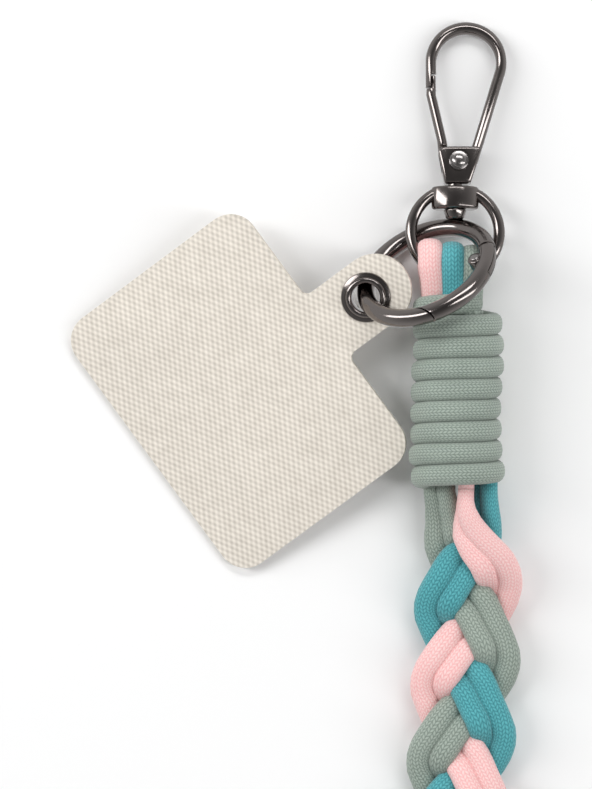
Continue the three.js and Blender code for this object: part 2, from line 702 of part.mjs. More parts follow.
const PLAIT_START_Y = WRAP_TOP - WRAP_LENGTH - SEAT_GAP / 2;
const cordAt = settlePlait();
const route = plaitRoute();
const ROUTE_LENGTH = route.getLength();
const PLAIT_STEPS = Math.round((ROUTE_LENGTH / REPEAT_LENGTH) * REPEAT_STEPS);
const BEND_FROM = Math.round((PLAIT_STEPS * LEG_LENGTH) / ROUTE_LENGTH);
const BEND_TO = PLAIT_STEPS - BEND_FROM;

function plaitRoute() {
  const legPoints = (leg, legX) => leg.map(({ x, down, up }) => (
    new THREE.Vector3(legX + x, PLAIT_START_Y - down, PLAIT_HEIGHT + up)
  ));
  const bendRadius = FAR_END_X / 2;
  const bendPoints = [0, 1, 2, 3, 4, 5, 6].map((i) => new THREE.Vector3(
    bendRadius * (1 - Math.cos((i * Math.PI) / 6)),
    PLAIT_START_Y - LEG_LENGTH - bendRadius * Math.sin((i * Math.PI) / 6),
    PLAIT_HEIGHT,
  ));
  const points = [...legPoints(NEAR_LEG, 0), ...bendPoints, ...legPoints(FAR_LEG, FAR_END_X).reverse()];
  const curve = new THREE.CatmullRomCurve3(points, false, 'centripetal');
  curve.arcLengthDivisions = 800;
  return curve;
}

// Carries a point of the straight plait (x across, y along, z up) onto the route
function onRoute(point, along) {
  const share = THREE.MathUtils.clamp(along / ROUTE_LENGTH, 0, 1);
  const centre = route.getPointAt(share);
  const ahead = route.getTangentAt(share);
  const across = new THREE.Vector3(-ahead.y, ahead.x, 0).normalize();
  return centre.addScaledVector(across, point.x).add(new THREE.Vector3(0, 0, point.z));
}

function pinchAt(step) {
  const fromEnd = Math.min(step, PLAIT_STEPS - step);
  return THREE.MathUtils.lerp(PINCH, 1, THREE.MathUtils.smoothstep(fromEnd, 0, PINCH_STEPS));
}

// The two cords of a strand at a step, on the route. Both ends of the plait are cut square to it
function pairAt(strand, step) {
  const scale = ROUTE_LENGTH / PLAIT_STEPS / (REPEAT_LENGTH / REPEAT_STEPS);
  const start = (REPEAT_LENGTH * FIRST_STEP) / REPEAT_STEPS;
  const pinch = pinchAt(step);
  return [0, 1].map((side) => {
    const point = cordAt(strand, side, step + FIRST_STEP);
    point.x *= pinch;
    point.z *= pinch;
    if (step > 0 && step < PLAIT_STEPS) {
      return onRoute(point, (point.y - start) * scale);
    }
    return onRoute(point, step > 0 ? ROUTE_LENGTH : 0).setY(PLAIT_START_Y);
  });
}

// Section of a strand: its two cords side by side, with six sides or, plainer, with four
function bandSection(centre, across, up, halfApart, thick, sides) {
  const corner = (a, b) => centre.clone().addScaledVector(across, a).addScaledVector(up, b);
  if (sides === 4) {
    const flank = halfApart + thick * 0.55;
    const face = thick * 0.74;
    return [corner(flank, face), corner(-flank, face), corner(-flank, -face), corner(flank, -face)];
  }
  const flank = halfApart + thick * 0.94;
  return [
    corner(flank, 0),
    corner(halfApart, thick),
    corner(-halfApart, thick),
    corner(-flank, 0),
    corner(-halfApart, -thick),
    corner(halfApart, -thick),
  ];
}

function strandSolid(strand, fromStep, toStep, sides) {
  const outlines = [];
  for (let step = fromStep; step <= toStep; step += 1) {
    const [left, right] = pairAt(strand, step);
    const before = pairAt(strand, step - 1);
    const after = pairAt(strand, step + 1);
    const ahead = after[0].add(after[1]).sub(before[0]).sub(before[1]).normalize();
    if (step === 0 || step === PLAIT_STEPS) {
      ahead.set(0, step === 0 ? -1 : 1, 0);
    }
    const centre = left.clone().add(right).multiplyScalar(0.5);
    const across = right.sub(left);
    across.addScaledVector(ahead, -across.dot(ahead));
    const halfApart = across.length() / 2;
    across.normalize();
    const up = across.clone().cross(ahead).normalize();
    const thick = ((CORD - CORD_GAP) / 2) * pinchAt(step);
    const trim = (step === fromStep ? 1 : 0) - (step === toStep ? 1 : 0);
    centre.addScaledVector(ahead, (trim * SEAT_GAP) / 2);
    outlines.push(bandSection(centre, across, up, halfApart, thick, sides));
  }
  return loft(outlines);
}

// Assembly

const strap = new THREE.Group();

function addHookEnd() {
  const hook = new THREE.Group();
  hook.position.set(0, EYE_CENTRE_Y, EYE_CENTRE_Z);
  hook.rotation.x = -HOOK_LEAN;
  hook.add(named('hook_body', hookBody(), gunmetal));
  hook.add(named('hook_gate', hookGate(), gunmetal));
  hook.add(named('hook_rivet', hookRivet(), darkPin));
  hook.add(named('swivel_eye', swivelEye(), gunmetal));
  strap.add(hook);
}

function ringBasis() {
  const along = new THREE.Vector3(Math.cos(RING_ALONG), Math.sin(RING_ALONG), 0);
  const flat = new THREE.Vector3(Math.sin(RING_ALONG), -Math.cos(RING_ALONG), 0);
  const up = new THREE.Vector3(0, 0, 1);
  const climb = flat.multiplyScalar(Math.cos(RING_TILT)).addScaledVector(up, Math.sin(RING_TILT));
  return { along, climb, normal: along.clone().cross(climb) };
}

const ringLie = ringBasis();
const ringCentre = new THREE.Vector3(
  RING_CENTRE_X,
  RING_CENTRE_Y,
  RING_RADIUS * Math.sin(RING_TILT) + RING_WIRE / 2,
);

function addGateRing() {
  const ring = new THREE.Group();
  ring.position.copy(ringCentre);
  ring.quaternion.setFromRotationMatrix(
    new THREE.Matrix4().makeBasis(ringLie.along, ringLie.climb, ringLie.normal),
  );
  ring.add(named('gate_ring', ringBody(), gunmetal));
  ring.add(named('gate_ring_gate', ringGate(), gunmetal));
  ring.add(named('gate_ring_pin', ringPin(), darkPin));
  strap.add(ring);
}

function addPatch() {
  const eyeletCentre = ringCentre.clone()
    .addScaledVector(ringLie.along, RING_RADIUS * Math.cos(EYELET_AT))
    .addScaledVector(ringLie.climb, RING_RADIUS * Math.sin(EYELET_AT));
  const reach = EYELET_INSET + PATCH_DEEP;
  const slope = Math.asin((eyeletCentre.z - PATCH_THICK / 2) / reach);
  const patchGroup = new THREE.Group();
  patchGroup.position.copy(eyeletCentre);
  patchGroup.rotation.set(0, -slope, PATCH_TURN, 'ZYX');
  patchGroup.add(named('patch', patch(), creamWeave));
  patchGroup.add(named('eyelet', eyelet(), gunmetal));
  strap.add(patchGroup);
}

function addWrapsAndLoops() {
  strap.add(named('near_wrap', wrapSolid(3, 12), cordColours.sage));
  LOOPS.forEach((loop) => {
    strap.add(named(`near_loop_${loop.name}`, loopSolid(loop, 12, 8), cordColours[loop.name]));
  });
  const far = new THREE.Group();
  far.position.x = FAR_END_X;
  far.add(named('far_wrap', wrapSolid(2, 12), cordColours.sage));
  LOOPS.forEach((loop) => {
    far.add(named(`far_loop_${loop.name}`, loopSolid(loop, 10, 6), cordColours[loop.name]));
  });
  const hook = new THREE.Group();
  hook.position.set(0, EYE_CENTRE_Y, EYE_CENTRE_Z);
  hook.rotation.x = -HOOK_LEAN;
  hook.add(named('far_hook', plainHook(), gunmetal));
  far.add(hook);
  strap.add(far);
}

function addPlait() {
  const bounds = [0, BEND_FROM, BEND_TO, PLAIT_STEPS];
  STRANDS.forEach((colour, strand) => {
    STRETCHES.forEach((stretch, i) => {
      const body = strandSolid(strand, bounds[i], bounds[i + 1], stretch.sides);
      strap.add(named(`plait_${colour}_${stretch.name}`, body, cordColours[colour]));
    });
  });
}

addHookEnd();
addGateRing();
addPatch();
addWrapsAndLoops();
addPlait();

// The origin is the middle of the strap's outer box, on the surface that it lies on
strap.updateMatrixWorld(true);
const box = new THREE.Box3().setFromObject(strap, true);
strap.position.set(-(box.min.x + box.max.x) / 2, -(box.min.y + box.max.y) / 2, -box.min.z);

export default strap;
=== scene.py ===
"""Phone crossbody strap laid on a pale surface: plaited cords, whipped ends, snap hooks and a patch."""
import json
import math

import bpy
import numpy as np
from mathutils import Matrix, Vector


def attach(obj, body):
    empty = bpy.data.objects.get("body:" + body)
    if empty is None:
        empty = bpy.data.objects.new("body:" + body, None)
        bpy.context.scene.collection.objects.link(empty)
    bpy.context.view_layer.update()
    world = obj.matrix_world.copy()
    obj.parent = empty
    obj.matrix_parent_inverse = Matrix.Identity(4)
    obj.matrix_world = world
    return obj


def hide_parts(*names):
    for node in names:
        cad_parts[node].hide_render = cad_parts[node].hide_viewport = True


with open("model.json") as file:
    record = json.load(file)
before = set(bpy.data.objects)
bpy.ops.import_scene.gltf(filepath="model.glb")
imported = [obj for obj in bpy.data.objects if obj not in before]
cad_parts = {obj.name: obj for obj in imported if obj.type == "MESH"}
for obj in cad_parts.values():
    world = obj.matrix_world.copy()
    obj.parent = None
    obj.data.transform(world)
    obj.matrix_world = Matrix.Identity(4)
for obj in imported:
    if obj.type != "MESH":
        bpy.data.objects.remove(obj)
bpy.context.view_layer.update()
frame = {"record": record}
bpy.ops.object.select_all(action="DESELECT")

# Setting: a pale surface, a wide soft light overhead with one to each side, and a camera that looks
# straight down with a long lens, as the photograph was taken. Places are measured in millimetres from the
# strap's own zero, below the middle of the near end's swivel ring and 33 mm towards the plait
MM = 0.001
EYE_CENTRE = (0, 33, 6.8)
swivel_joint = next(j for j in frame["record"]["behaviour"]["joints"] if j["name"] == "hook_swivel")
STRAP_ZERO = Vector(swivel_joint["pos_m"]) - Vector(EYE_CENTRE) * MM
STRAP_ZERO.z = 0

PHOTO_PX_PER_MM = 5.075
PHOTO_ZERO_PX = (455, 400)
PHOTO_SIZE_PX = (592, 789)
CAMERA_HEIGHT = 1.0
FOCUS_HEIGHT = 0.006
FLOOR_WIDTH = 6
FLOOR_DROP = 0.0001
PAPER_WHITE = (0.93, 0.93, 0.93, 1)
HORIZON_LIGHT = 0.72
ZENITH_LIGHT = 0.13

view_x = (PHOTO_SIZE_PX[0] / 2 - PHOTO_ZERO_PX[0]) / PHOTO_PX_PER_MM * MM
view_y = (PHOTO_ZERO_PX[1] - PHOTO_SIZE_PX[1] / 2) / PHOTO_PX_PER_MM * MM
view_middle = STRAP_ZERO + Vector((view_x, view_y, 0))
camera_place = view_middle + Vector((0, 0, CAMERA_HEIGHT + FOCUS_HEIGHT))
bpy.ops.object.camera_add(location=camera_place, rotation=(0, 0, 0))
camera = bpy.context.object
camera.data.sensor_fit = "HORIZONTAL"
view_width = PHOTO_SIZE_PX[0] / PHOTO_PX_PER_MM * MM
camera.data.lens = camera.data.sensor_width * CAMERA_HEIGHT / view_width
camera.data.clip_end = FLOOR_WIDTH * 3
bpy.context.scene.camera = camera
bpy.context.scene.view_settings.view_transform = "Standard"

bpy.ops.mesh.primitive_plane_add(size=FLOOR_WIDTH, location=(0, 0, -FLOOR_DROP))
floor = bpy.context.object
floor.name = "floor"
paper = bpy.data.materials.new("pale_paper")
paper.use_nodes = True
paper_surface = paper.node_tree.nodes["Principled BSDF"]
paper_surface.inputs["Base Color"].default_value = PAPER_WHITE
paper_surface.inputs["Roughness"].default_value = 0.9
paper_surface.inputs["Specular IOR Level"].default_value = 0.1
floor.data.materials.append(paper)
floor.visible_glossy = False


def soft_light(name, x, y, z, width, length, power):
    bpy.ops.object.light_add(type="AREA", location=view_middle + Vector((x, y, z)))
    light = bpy.context.object
    light.name = name
    light.data.shape = "RECTANGLE"
    light.data.size = width
    light.data.size_y = length
    light.data.energy = power
    light.rotation_euler = Vector((x, y, z)).to_track_quat("Z", "Y").to_euler()


soft_light("light_left", -1.1, 0.35, 0.9, 0.4, 1.4, 12)
soft_light("light_right", 1.0, -0.2, 1.1, 0.3, 1.6, 9)
soft_light("light_top", 0.15, 1.1, 1.2, 1.2, 0.35, 8.5)

world = bpy.data.worlds.new("studio")
bpy.context.scene.world = world
world.use_nodes = True
tent = world.node_tree
direction = tent.nodes.new("ShaderNodeTexCoord")
parts = tent.nodes.new("ShaderNodeSeparateXYZ")
brightness = tent.nodes.new("ShaderNodeMapRange")
brightness.inputs["To Min"].default_value = HORIZON_LIGHT
brightness.inputs["To Max"].default_value = ZENITH_LIGHT
tent.links.new(direction.outputs["Generated"], parts.inputs["Vector"])
tent.links.new(parts.outputs["Z"], brightness.inputs["Value"])
tent.links.new(brightness.outputs["Result"], tent.nodes["Background"].inputs["Strength"])
tent.nodes["Background"].inputs["Color"].default_value = (1, 1, 1, 1)


# Plait: three strands of two cords, one strand of each colour, plaited by hand and laid in a hairpin. Each
# cord is a soft polyester sleeve, woven of slanted stitches that read as small chevrons along it. The cords
# lie against one another without passing through each other, which a short settling works out
class Field:
    """A number that varies over a surface, with the usual operators."""

    def __init__(self, tree, socket):
        self.tree = tree
        self.socket = socket

    def math(self, operation, *values):
        return shade(self.tree, "ShaderNodeMath", {"operation": operation}, self, *values)

    def __add__(self, other):
        return self.math("ADD", other)

    __radd__ = __add__

    def __sub__(self, other):
        return self.math("SUBTRACT", other)

    def __rsub__(self, other):
        return self.math("MULTIPLY", -1).math("ADD", other)

    def __mul__(self, other):
        return self.math("MULTIPLY", other)

    __rmul__ = __mul__

    def __pow__(self, other):
        return self.math("POWER", other)


def shade(tree, kind, settings, *values, output=0):
    node = tree.nodes.new(kind)
    for key, value in settings.items():
        setattr(node, key, value)
    sockets = [s for s in node.inputs if s.enabled]
    for socket, value in zip(sockets, values):
        if isinstance(value, Field):
            tree.links.new(value.socket, socket)
        elif value is not None:
            socket.default_value = value
    return Field(tree, node.outputs[output])


def new_material(name, constants):
    material = bpy.data.materials.new(name)
    material.use_nodes = True
    surface = material.node_tree.nodes["Principled BSDF"]
    for key, value in constants.items():
        surface.inputs[key].default_value = value
    return material, material.node_tree, surface


def colours_by(tree, surface, factor, dark, light):
    mixed = shade(tree, "ShaderNodeMix", {"data_type": "RGBA"}, factor, (*dark, 1), (*light, 1), output=2)
    tree.links.new(mixed.socket, surface.inputs["Base Color"])


def raised_by(tree, surface, height, strength, distance):
    bump = tree.nodes.new("ShaderNodeBump")
    bump.inputs["Strength"].default_value = strength
    bump.inputs["Distance"].default_value = distance
    tree.links.new(height.socket, bump.inputs["Height"])
    tree.links.new(bump.outputs["Normal"], surface.inputs["Normal"])


STITCH_COLUMNS = 26
STITCHES_PER_GIRTH = 18
STITCH_SLANT = 0.7
# Each cord's pair of colours: a painted shade for the grooves between stitches and a painted highlight for
# the stitch crowns
CORD_SHADE_AND_HIGHLIGHT = {
    "pink": ((0.88, 0.38, 0.38), (1.0, 0.73, 0.71)),
    "teal": ((0.012, 0.15, 0.175), (0.125, 0.50, 0.55)),
    "sage": ((0.115, 0.15, 0.125), (0.42, 0.49, 0.43)),
}


def braid_material(colour):
    dark, light = CORD_SHADE_AND_HIGHLIGHT[colour]
    soft = {"Roughness": 0.72, "Specular IOR Level": 0.3, "Sheen Weight": 0.25, "Sheen Roughness": 0.5}
    material, tree, surface = new_material(f"{colour}_braid", soft)
    uv = shade(tree, "ShaderNodeUVMap", {"uv_map": "along_cord"})
    parts = shade(tree, "ShaderNodeSeparateXYZ", {}, uv)
    around = parts
    length = Field(tree, parts.socket.node.outputs[1])
    column = around * STITCH_COLUMNS
    across = column.math("FRACT")
    side = column.math("FLOOR").math("MODULO", 2) * 2 - 1
    stitch = (length * STITCHES_PER_GIRTH + across * side * STITCH_SLANT + side * 0.25).math("FRACT")
    crown = (across * (1 - across) * 4) ** 0.5
    rise = (stitch * (1 - stitch) * 4) ** 0.6
    height = crown * rise
    place = shade(tree, "ShaderNodeTexCoord", {}, output=3)
    patchy = shade(tree, "ShaderNodeTexNoise", {"noise_dimensions": "3D"}, place, 120.0, 2.0)
    # Colour follows the stitch relief: painted shade in the grooves, painted highlight on the crowns, with
    # random patchy tone on top
    colours_by(tree, surface, height * 0.82 + patchy * 0.3 - 0.06, dark, light)
    raised_by(tree, surface, height, 0.5, 0.0002)
    return material


BRAIDS = {colour: braid_material(colour) for colour in CORD_SHADE_AND_HIGHLIGHT}


def smooth_route(points, per_span=40):
    """A centripetal curve through given points."""
    knots = [np.array(p, float) for p in points]
    knots = [2 * knots[0] - knots[1], *knots, 2 * knots[-1] - knots[-2]]
    share = (np.arange(per_span) / per_span)[:, None]
    runs = []
    for a, b, c, d in zip(knots, knots[1:], knots[2:], knots[3:]):
        ab, bc, cd = (np.linalg.norm(q - p) ** 0.5 for p, q in ((a, b), (b, c), (c, d)))
        leave = ((b - a) / ab - (c - a) / (ab + bc) + (c - b) / bc) * bc
        reach = ((c - b) / bc - (d - b) / (bc + cd) + (d - c) / cd) * bc
        runs.append(
            (2 * share**3 - 3 * share**2 + 1) * b
            + (share**3 - 2 * share**2 + share) * leave
            + (3 * share**2 - 2 * share**3) * c
            + (share**3 - share**2) * reach
        )
    runs.append(knots[-2][None])
    return np.concatenate(runs)


def lengths_along(points):
    return np.concatenate([[0], np.cumsum(np.linalg.norm(np.diff(points, axis=0), axis=1))])


def resampled(points, count):
    along = lengths_along(points)
    wanted = np.linspace(0, along[-1], count)
    return np.stack([np.interp(wanted, along, points[:, k]) for k in range(3)], 1)


def finish_piece(piece, name, body, slot, material, *nodes):
    piece.name = name
    piece.data.name = name
    piece.data.materials.clear()
    piece.data.materials.append(material)
    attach(piece, body)
    if nodes:
        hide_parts(*nodes)
    piece.select_set(False)
    return piece


CORD_SIDES = 16
CORD_SQUARENESS = 2.3


def cord_skin(runs, sides=CORD_SIDES, squareness=CORD_SQUARENESS):
    """One mesh of closed cords. A run holds its middle line, its width's direction and both half sizes."""
    turn = 2 * np.pi * np.arange(sides) / sides
    wide = np.sign(np.cos(turn)) * np.abs(np.cos(turn)) ** (2 / squareness)
    deep = np.sign(np.sin(turn)) * np.abs(np.sin(turn)) ** (2 / squareness)
    vertices = []
    faces = []
    places = []
    for middle, across, half_wide, half_deep in runs:
        ahead = np.gradient(middle, axis=0)
        ahead /= np.linalg.norm(ahead, axis=1)[:, None]
        across = across - ahead * np.sum(across * ahead, axis=1)[:, None]
        across /= np.linalg.norm(across, axis=1)[:, None]
        up = np.cross(across, ahead)
        half_wide = np.broadcast_to(half_wide, len(middle))[:, None, None]
        half_deep = np.broadcast_to(half_deep, len(middle))[:, None, None]
        rings = middle[:, None] + across[:, None] * wide[:, None] * half_wide
        rings = rings + up[:, None] * deep[:, None] * half_deep
        first = sum(len(v) for v in vertices)
        vertices.append(rings.reshape(-1, 3))
        girth = math.pi * float(np.mean(half_wide) + np.mean(half_deep))
        along = lengths_along(middle) / girth
        for row in range(len(middle) - 1):
            here = first + row * sides
            for side in range(sides):
                after = (side + 1) % sides
                faces.append((here + side, here + after, here + sides + after, here + sides + side))
                left, right = side / sides, (side + 1) / sides
                low, high = along[row], along[row + 1]
                places.append(((left, low), (right, low), (right, high), (left, high)))
        last = first + (len(middle) - 1) * sides
        faces.append(tuple(range(first + sides - 1, first - 1, -1)))
        faces.append(tuple(range(last, last + sides)))
        places.append(((0.5, along[0]),) * sides)
        places.append(((0.5, along[-1]),) * sides)
    mesh = bpy.data.meshes.new("cord")
    mesh.from_pydata(np.concatenate(vertices) * MM + np.array(STRAP_ZERO), [], faces)
    chart = mesh.uv_layers.new(name="along_cord")
    numbers = [number for face in places for pair in face for number in pair]
    chart.data.foreach_set("uv", np.array(numbers, np.float32))
    piece = bpy.data.objects.new("cord", mesh)
    bpy.context.collection.objects.link(piece)
    bpy.context.view_layer.objects.active = piece
    piece.select_set(True)
    bpy.ops.object.mode_set(mode="EDIT")
    bpy.ops.mesh.select_all(action="SELECT")
    bpy.ops.mesh.normals_make_consistent(inside=False)
    bpy.ops.object.mode_set(mode="OBJECT")
    bpy.ops.object.shade_smooth()
    return piece


CONTACT = 3.0
PAIR_GAP = 4.35
CORD_HALF_WIDE = 2.5
CORD_HALF_DEEP = 1.95
SKIN_LEAN = 0.13
PLAIT_HALF = 5.2
PLAIT_RISE = 1.9
PLAIT_SKEW = 0.4
REPEAT_LENGTH = 45.4
REPEAT_STEPS = 48
SETTLE_ROUNDS = 260
PULL = 0.2
PUSH = 0.35
TENSION = 0.05
LONGEST_MOVE = 0.3
FIRST_STEP = -7
PINCH = 0.8
PINCH_STEPS = 16
STRANDS = ("pink", "sage", "teal")
PLAIT_START_Y = -17.15
PLAIT_HEIGHT = 5.2
FAR_END_X = 118
LEG_LENGTH = 328
NEAR_LEG = ((0.6, 0, 3.2), (2.6, 20, 0.5), (1.4, 49, 0), (-1, 103, 0), (-2, 173, 0), (-1, 253, 0))
FAR_LEG = ((0.6, 0, 3.2), (1.4, 20, 0.5), (0.6, 49, 0), (0.5, 103, 0), (2, 173, 0), (2, 253, 0))
START_BUNDLE = (((2.2, 8.9), (2.0, 12.3)), ((-4.3, 5.8), (-1.9, 8.2)), ((4.9, 7.0), (6.5, 9.9)))
START_SPREAD = 15
START_DROP = 20
START_HEIGHTS = (1.5, -1.4, 0)
SAGE_KEPT_IN = 2.2
START_ROWS = 26


def leg_points(leg, leg_x):
    return [(leg_x + x, PLAIT_START_Y - down, PLAIT_HEIGHT + up) for x, down, up in leg]


def bend_points():
    radius = FAR_END_X / 2
    turns = [math.pi * i / 6 for i in range(7)]
    low = PLAIT_START_Y - LEG_LENGTH
    return [(radius * (1 - math.cos(t)), low - radius * math.sin(t), PLAIT_HEIGHT) for t in turns]


def strand_cord(own, strand, side, steps):
    points = own[side][(steps - strand * REPEAT_STEPS // 3) % REPEAT_STEPS].copy()
    points[:, 1] += REPEAT_LENGTH * steps / REPEAT_STEPS
    return points


def settled_plait():
    n = REPEAT_STEPS
    turn = 2 * np.pi * np.arange(n) / n
    x = PLAIT_HALF * np.sin(turn)
    slope = PLAIT_HALF * np.cos(turn) * 2 * np.pi / REPEAT_LENGTH
    lean = np.hypot(1, slope)
    height = PLAIT_RISE * np.sin(2 * turn)
    own = []
    for side in (-0.5, 0.5):
        half = side * PAIR_GAP
        own.append(np.stack([x + half / lean, PLAIT_SKEW * x - slope / lean * half, height], 1))
    steps = np.arange(-n, 2 * n)
    here_rows = np.arange(n)
    window = here_rows[:, None] + n + np.arange(-n // 3, n // 3 + 1)[None]
    for turn_count in range(SETTLE_ROUNDS):
        tension = TENSION * (1 - turn_count / SETTLE_ROUNDS)
        moves = []
        for side in (0, 1):
            mine = strand_cord(own, 0, side, steps)
            here = mine[n:2 * n]
            move = tension * ((mine[n - 1:2 * n - 1] + mine[n + 1:2 * n + 1]) / 2 - here)
            for strand, other in ((0, 1 - side), (1, 0), (1, 1), (2, 0), (2, 1)):
                away = here[:, None] - strand_cord(own, strand, other, steps)[window]
                gaps = np.linalg.norm(away, axis=2)
                closest = gaps.argmin(1)
                gap = gaps[here_rows, closest]
                short = PULL * (PAIR_GAP - gap) if strand == 0 else PUSH * np.maximum(CONTACT - gap, 0)
                move += away[here_rows, closest] * (short / gap)[:, None]
            moves.append(move)
        for side in (0, 1):
            size = np.maximum(np.linalg.norm(moves[side], axis=1), 1e-9)
            own[side] += moves[side] * np.minimum(1, LONGEST_MOVE / size)[:, None]
    return own


def plait_runs():
    legs = [*leg_points(NEAR_LEG, 0), *bend_points(), *reversed(leg_points(FAR_LEG, FAR_END_X))]
    route = smooth_route(legs, 80)
    total = lengths_along(route)[-1]
    count = 4 * round(total / REPEAT_LENGTH * REPEAT_STEPS / 4)
    centre = resampled(route, 8 * count)
    ahead = np.gradient(centre, axis=0)
    across = np.stack([-ahead[:, 1], ahead[:, 0], 0 * ahead[:, 0]], 1)
    across /= np.linalg.norm(across, axis=1)[:, None]
    own = settled_plait()
    steps = np.arange(count + 1)
    scale = total / count / (REPEAT_LENGTH / REPEAT_STEPS)
    from_end = np.clip(np.minimum(steps, count - steps) / PINCH_STEPS, 0, 1)
    pinch = PINCH + (1 - PINCH) * from_end**2 * (3 - 2 * from_end)
    strands = []
    for strand in range(3):
        cords = []
        for side in (0, 1):
            local = strand_cord(own, strand, side, steps + FIRST_STEP)
            share = (local[:, 1] - REPEAT_LENGTH * FIRST_STEP / REPEAT_STEPS) * scale / total
            row = np.clip(share, 0, 1) * (len(centre) - 1)
            low = np.minimum(row.astype(int), len(centre) - 2)
            part = (row - low)[:, None]
            base = centre[low] * (1 - part) + centre[low + 1] * part
            cord = base + across[low] * (local[:, 0] * pinch)[:, None]
            cord[:, 2] += local[:, 2] * pinch
            cords.append(cord)
        strands.append(cords)
    return leave_bundle(strands), pinch


SWELL_REACH = 24
START_ROUNDS = 40
START_CLEARANCE = 0.2


def leave_bundle(strands):
    """The near end's cords come out of the whipping side by side: sage left, pink on top, teal right."""
    for strand, cords in enumerate(strands):
        for side, cord in enumerate(cords):
            down = PLAIT_START_Y - cord[:START_ROWS, 1]
            for axis, reach in ((0, START_SPREAD), (2, START_DROP)):
                share = np.clip(down / reach, 0, 1)
                share = share**2 * (3 - 2 * share)
                start = START_BUNDLE[strand][side][axis // 2]
                cord[:START_ROWS, axis] = start + (cord[:START_ROWS, axis] - start) * share
            swell = np.sin(np.clip(down / SWELL_REACH, 0, 1) * math.pi) ** 2
            cord[:START_ROWS, 2] += START_HEIGHTS[strand] * swell
            if STRANDS[strand] == "sage":
                cord[:START_ROWS, 0] += SAGE_KEPT_IN * swell
    cords = [cord for pair in strands for cord in pair]
    for _ in range(START_ROUNDS):
        rows = [cord[:START_ROWS].copy() for cord in cords]
        for first in range(6):
            for second in range(6):
                if first == second:
                    continue
                away = rows[first][:, None] - rows[second][None]
                gaps = np.linalg.norm(away, axis=2)
                closest = gaps.argmin(1)
                gap = gaps[np.arange(START_ROWS), closest]
                short = PULL * np.maximum(CONTACT + START_CLEARANCE - gap, 0)
                move = away[np.arange(START_ROWS), closest] * (short / gap)[:, None]
                cords[first][2:START_ROWS] += move[2:]
    return strands


ENTER_WHIPPING = 3.5
START_MARGIN = 0.2
plait_cords, plait_pinch = plait_runs()
lowest = min(cord[:, 2].min() for cords in plait_cords for cord in cords) - CORD_HALF_DEEP - SKIN_LEAN
for strand, cords in enumerate(plait_cords):
    apart = cords[1] - cords[0]
    runs = []
    for cord in cords:
        middle = cord - np.array([0, 0, lowest])
        top = middle[:1] + np.array([[0, ENTER_WHIPPING, 0]])
        far = middle[-1:] + np.array([[0, ENTER_WHIPPING, 0]])
        inside = middle[:, 1] < PLAIT_START_Y + START_MARGIN
        inside[0] = inside[-1] = True
        middle = np.concatenate([top, middle[inside], far])
        side_way = np.concatenate([apart[:1], apart[inside], apart[-1:]])
        size = np.concatenate([plait_pinch[:1], plait_pinch[inside], plait_pinch[-1:]])
        runs.append((middle, side_way, CORD_HALF_WIDE * size, CORD_HALF_DEEP * size))
    colour = STRANDS[strand]
    nodes = [f"plait_{colour}_{stretch}" for stretch in ("near", "bend", "far")]
    strand_piece = cord_skin(runs)
    finish_piece(strand_piece, f"plait_strand_{colour}", "strap", f"{colour}_cord", BRAIDS[colour], *nodes)


# Whippings: a sage cord wound tightly round the six cord ends. It starts in a narrower turn round the
# loops, and its end is tucked up inside
ENDS = (("near", 0), ("far", FAR_END_X))
WRAP_TOP = 22
WRAP_AXIS = (0.2, 8.95)
WRAP_OUTER = 8.85
TURNS_WIDER = (0, 0.1, 0.3, 0.1, 0.15, 0.1, 0.5, 0.5)
TURNS_ASIDE = (0.2, 0.5, 0.2, 0, -0.2, 0, -0.25, 0.35)
FIRST_OUTER = 6.9
FIRST_SHIFT = -1.7
WRAP_PITCH = 4.13
WRAP_TURNS = 8
WRAP_HALF_WIDE = 2.13
WRAP_HALF_DEEP = 1.85
FIRST_MIDDLE_DOWN = 6.53
BACK_STEEPNESS = 0.45
TUCK = 3.2
CORE_RADIUS = 5.3
CORE_DOWN = (4.5, 5.5, 35, 36)
WRAP_SQUARENESS = 2.35
LEAD_IN = 0.3
LEAD_IN_DEEP = 1.6
TUCK_FROM = 0.45


def whipping_run(x):
    last = 2 * WRAP_TURNS - 1
    turn = np.arange(-(2 + LEAD_IN) * math.pi, (last + TUCK_FROM) * math.pi, math.pi / 28)
    early = np.clip(-turn / math.pi, 0, 1)
    early = early**2 * (3 - 2 * early)
    late = np.clip((turn - last * math.pi) / (TUCK_FROM * math.pi), 0, 1) ** 2
    start = np.clip((-2 * math.pi - turn) / (LEAD_IN * math.pi), 0, 1)
    outer = WRAP_OUTER + (FIRST_OUTER - WRAP_OUTER) * early
    radius = outer - WRAP_HALF_DEEP - TUCK * late - LEAD_IN_DEEP * start
    down = FIRST_MIDDLE_DOWN + WRAP_PITCH * turn / (2 * math.pi) + BACK_STEEPNESS * np.cos(turn)
    turns = (np.arange(WRAP_TURNS) + 0.25) * 2 * math.pi
    wider = np.interp(turn, turns, TURNS_WIDER) * (1 - early)
    aside = np.interp(turn, turns, TURNS_ASIDE) * (1 - early)
    centre_x = x + WRAP_AXIS[0] + FIRST_SHIFT * early + aside
    height = WRAP_AXIS[1] + radius * np.sin(turn)
    middle = np.stack([centre_x + (radius + wider) * np.cos(turn), WRAP_TOP - down, height], 1)
    along_axis = np.tile([0.0, 1.0, 0.0], (len(turn), 1))
    return middle, along_axis, WRAP_HALF_WIDE, WRAP_HALF_DEEP


def core_run(x):
    middle = np.array([[x + WRAP_AXIS[0], WRAP_TOP - down, WRAP_AXIS[1]] for down in CORE_DOWN])
    return middle, np.tile([1.0, 0.0, 0.0], (len(middle), 1)), CORE_RADIUS, CORE_RADIUS


for place_name, place_x in ENDS:
    wound = cord_skin([whipping_run(place_x), core_run(place_x)], squareness=WRAP_SQUARENESS)
    name = f"{place_name}_wrap"
    finish_piece(wound, f"{place_name}_whipping", "strap", "sage_cord", BRAIDS["sage"], name)


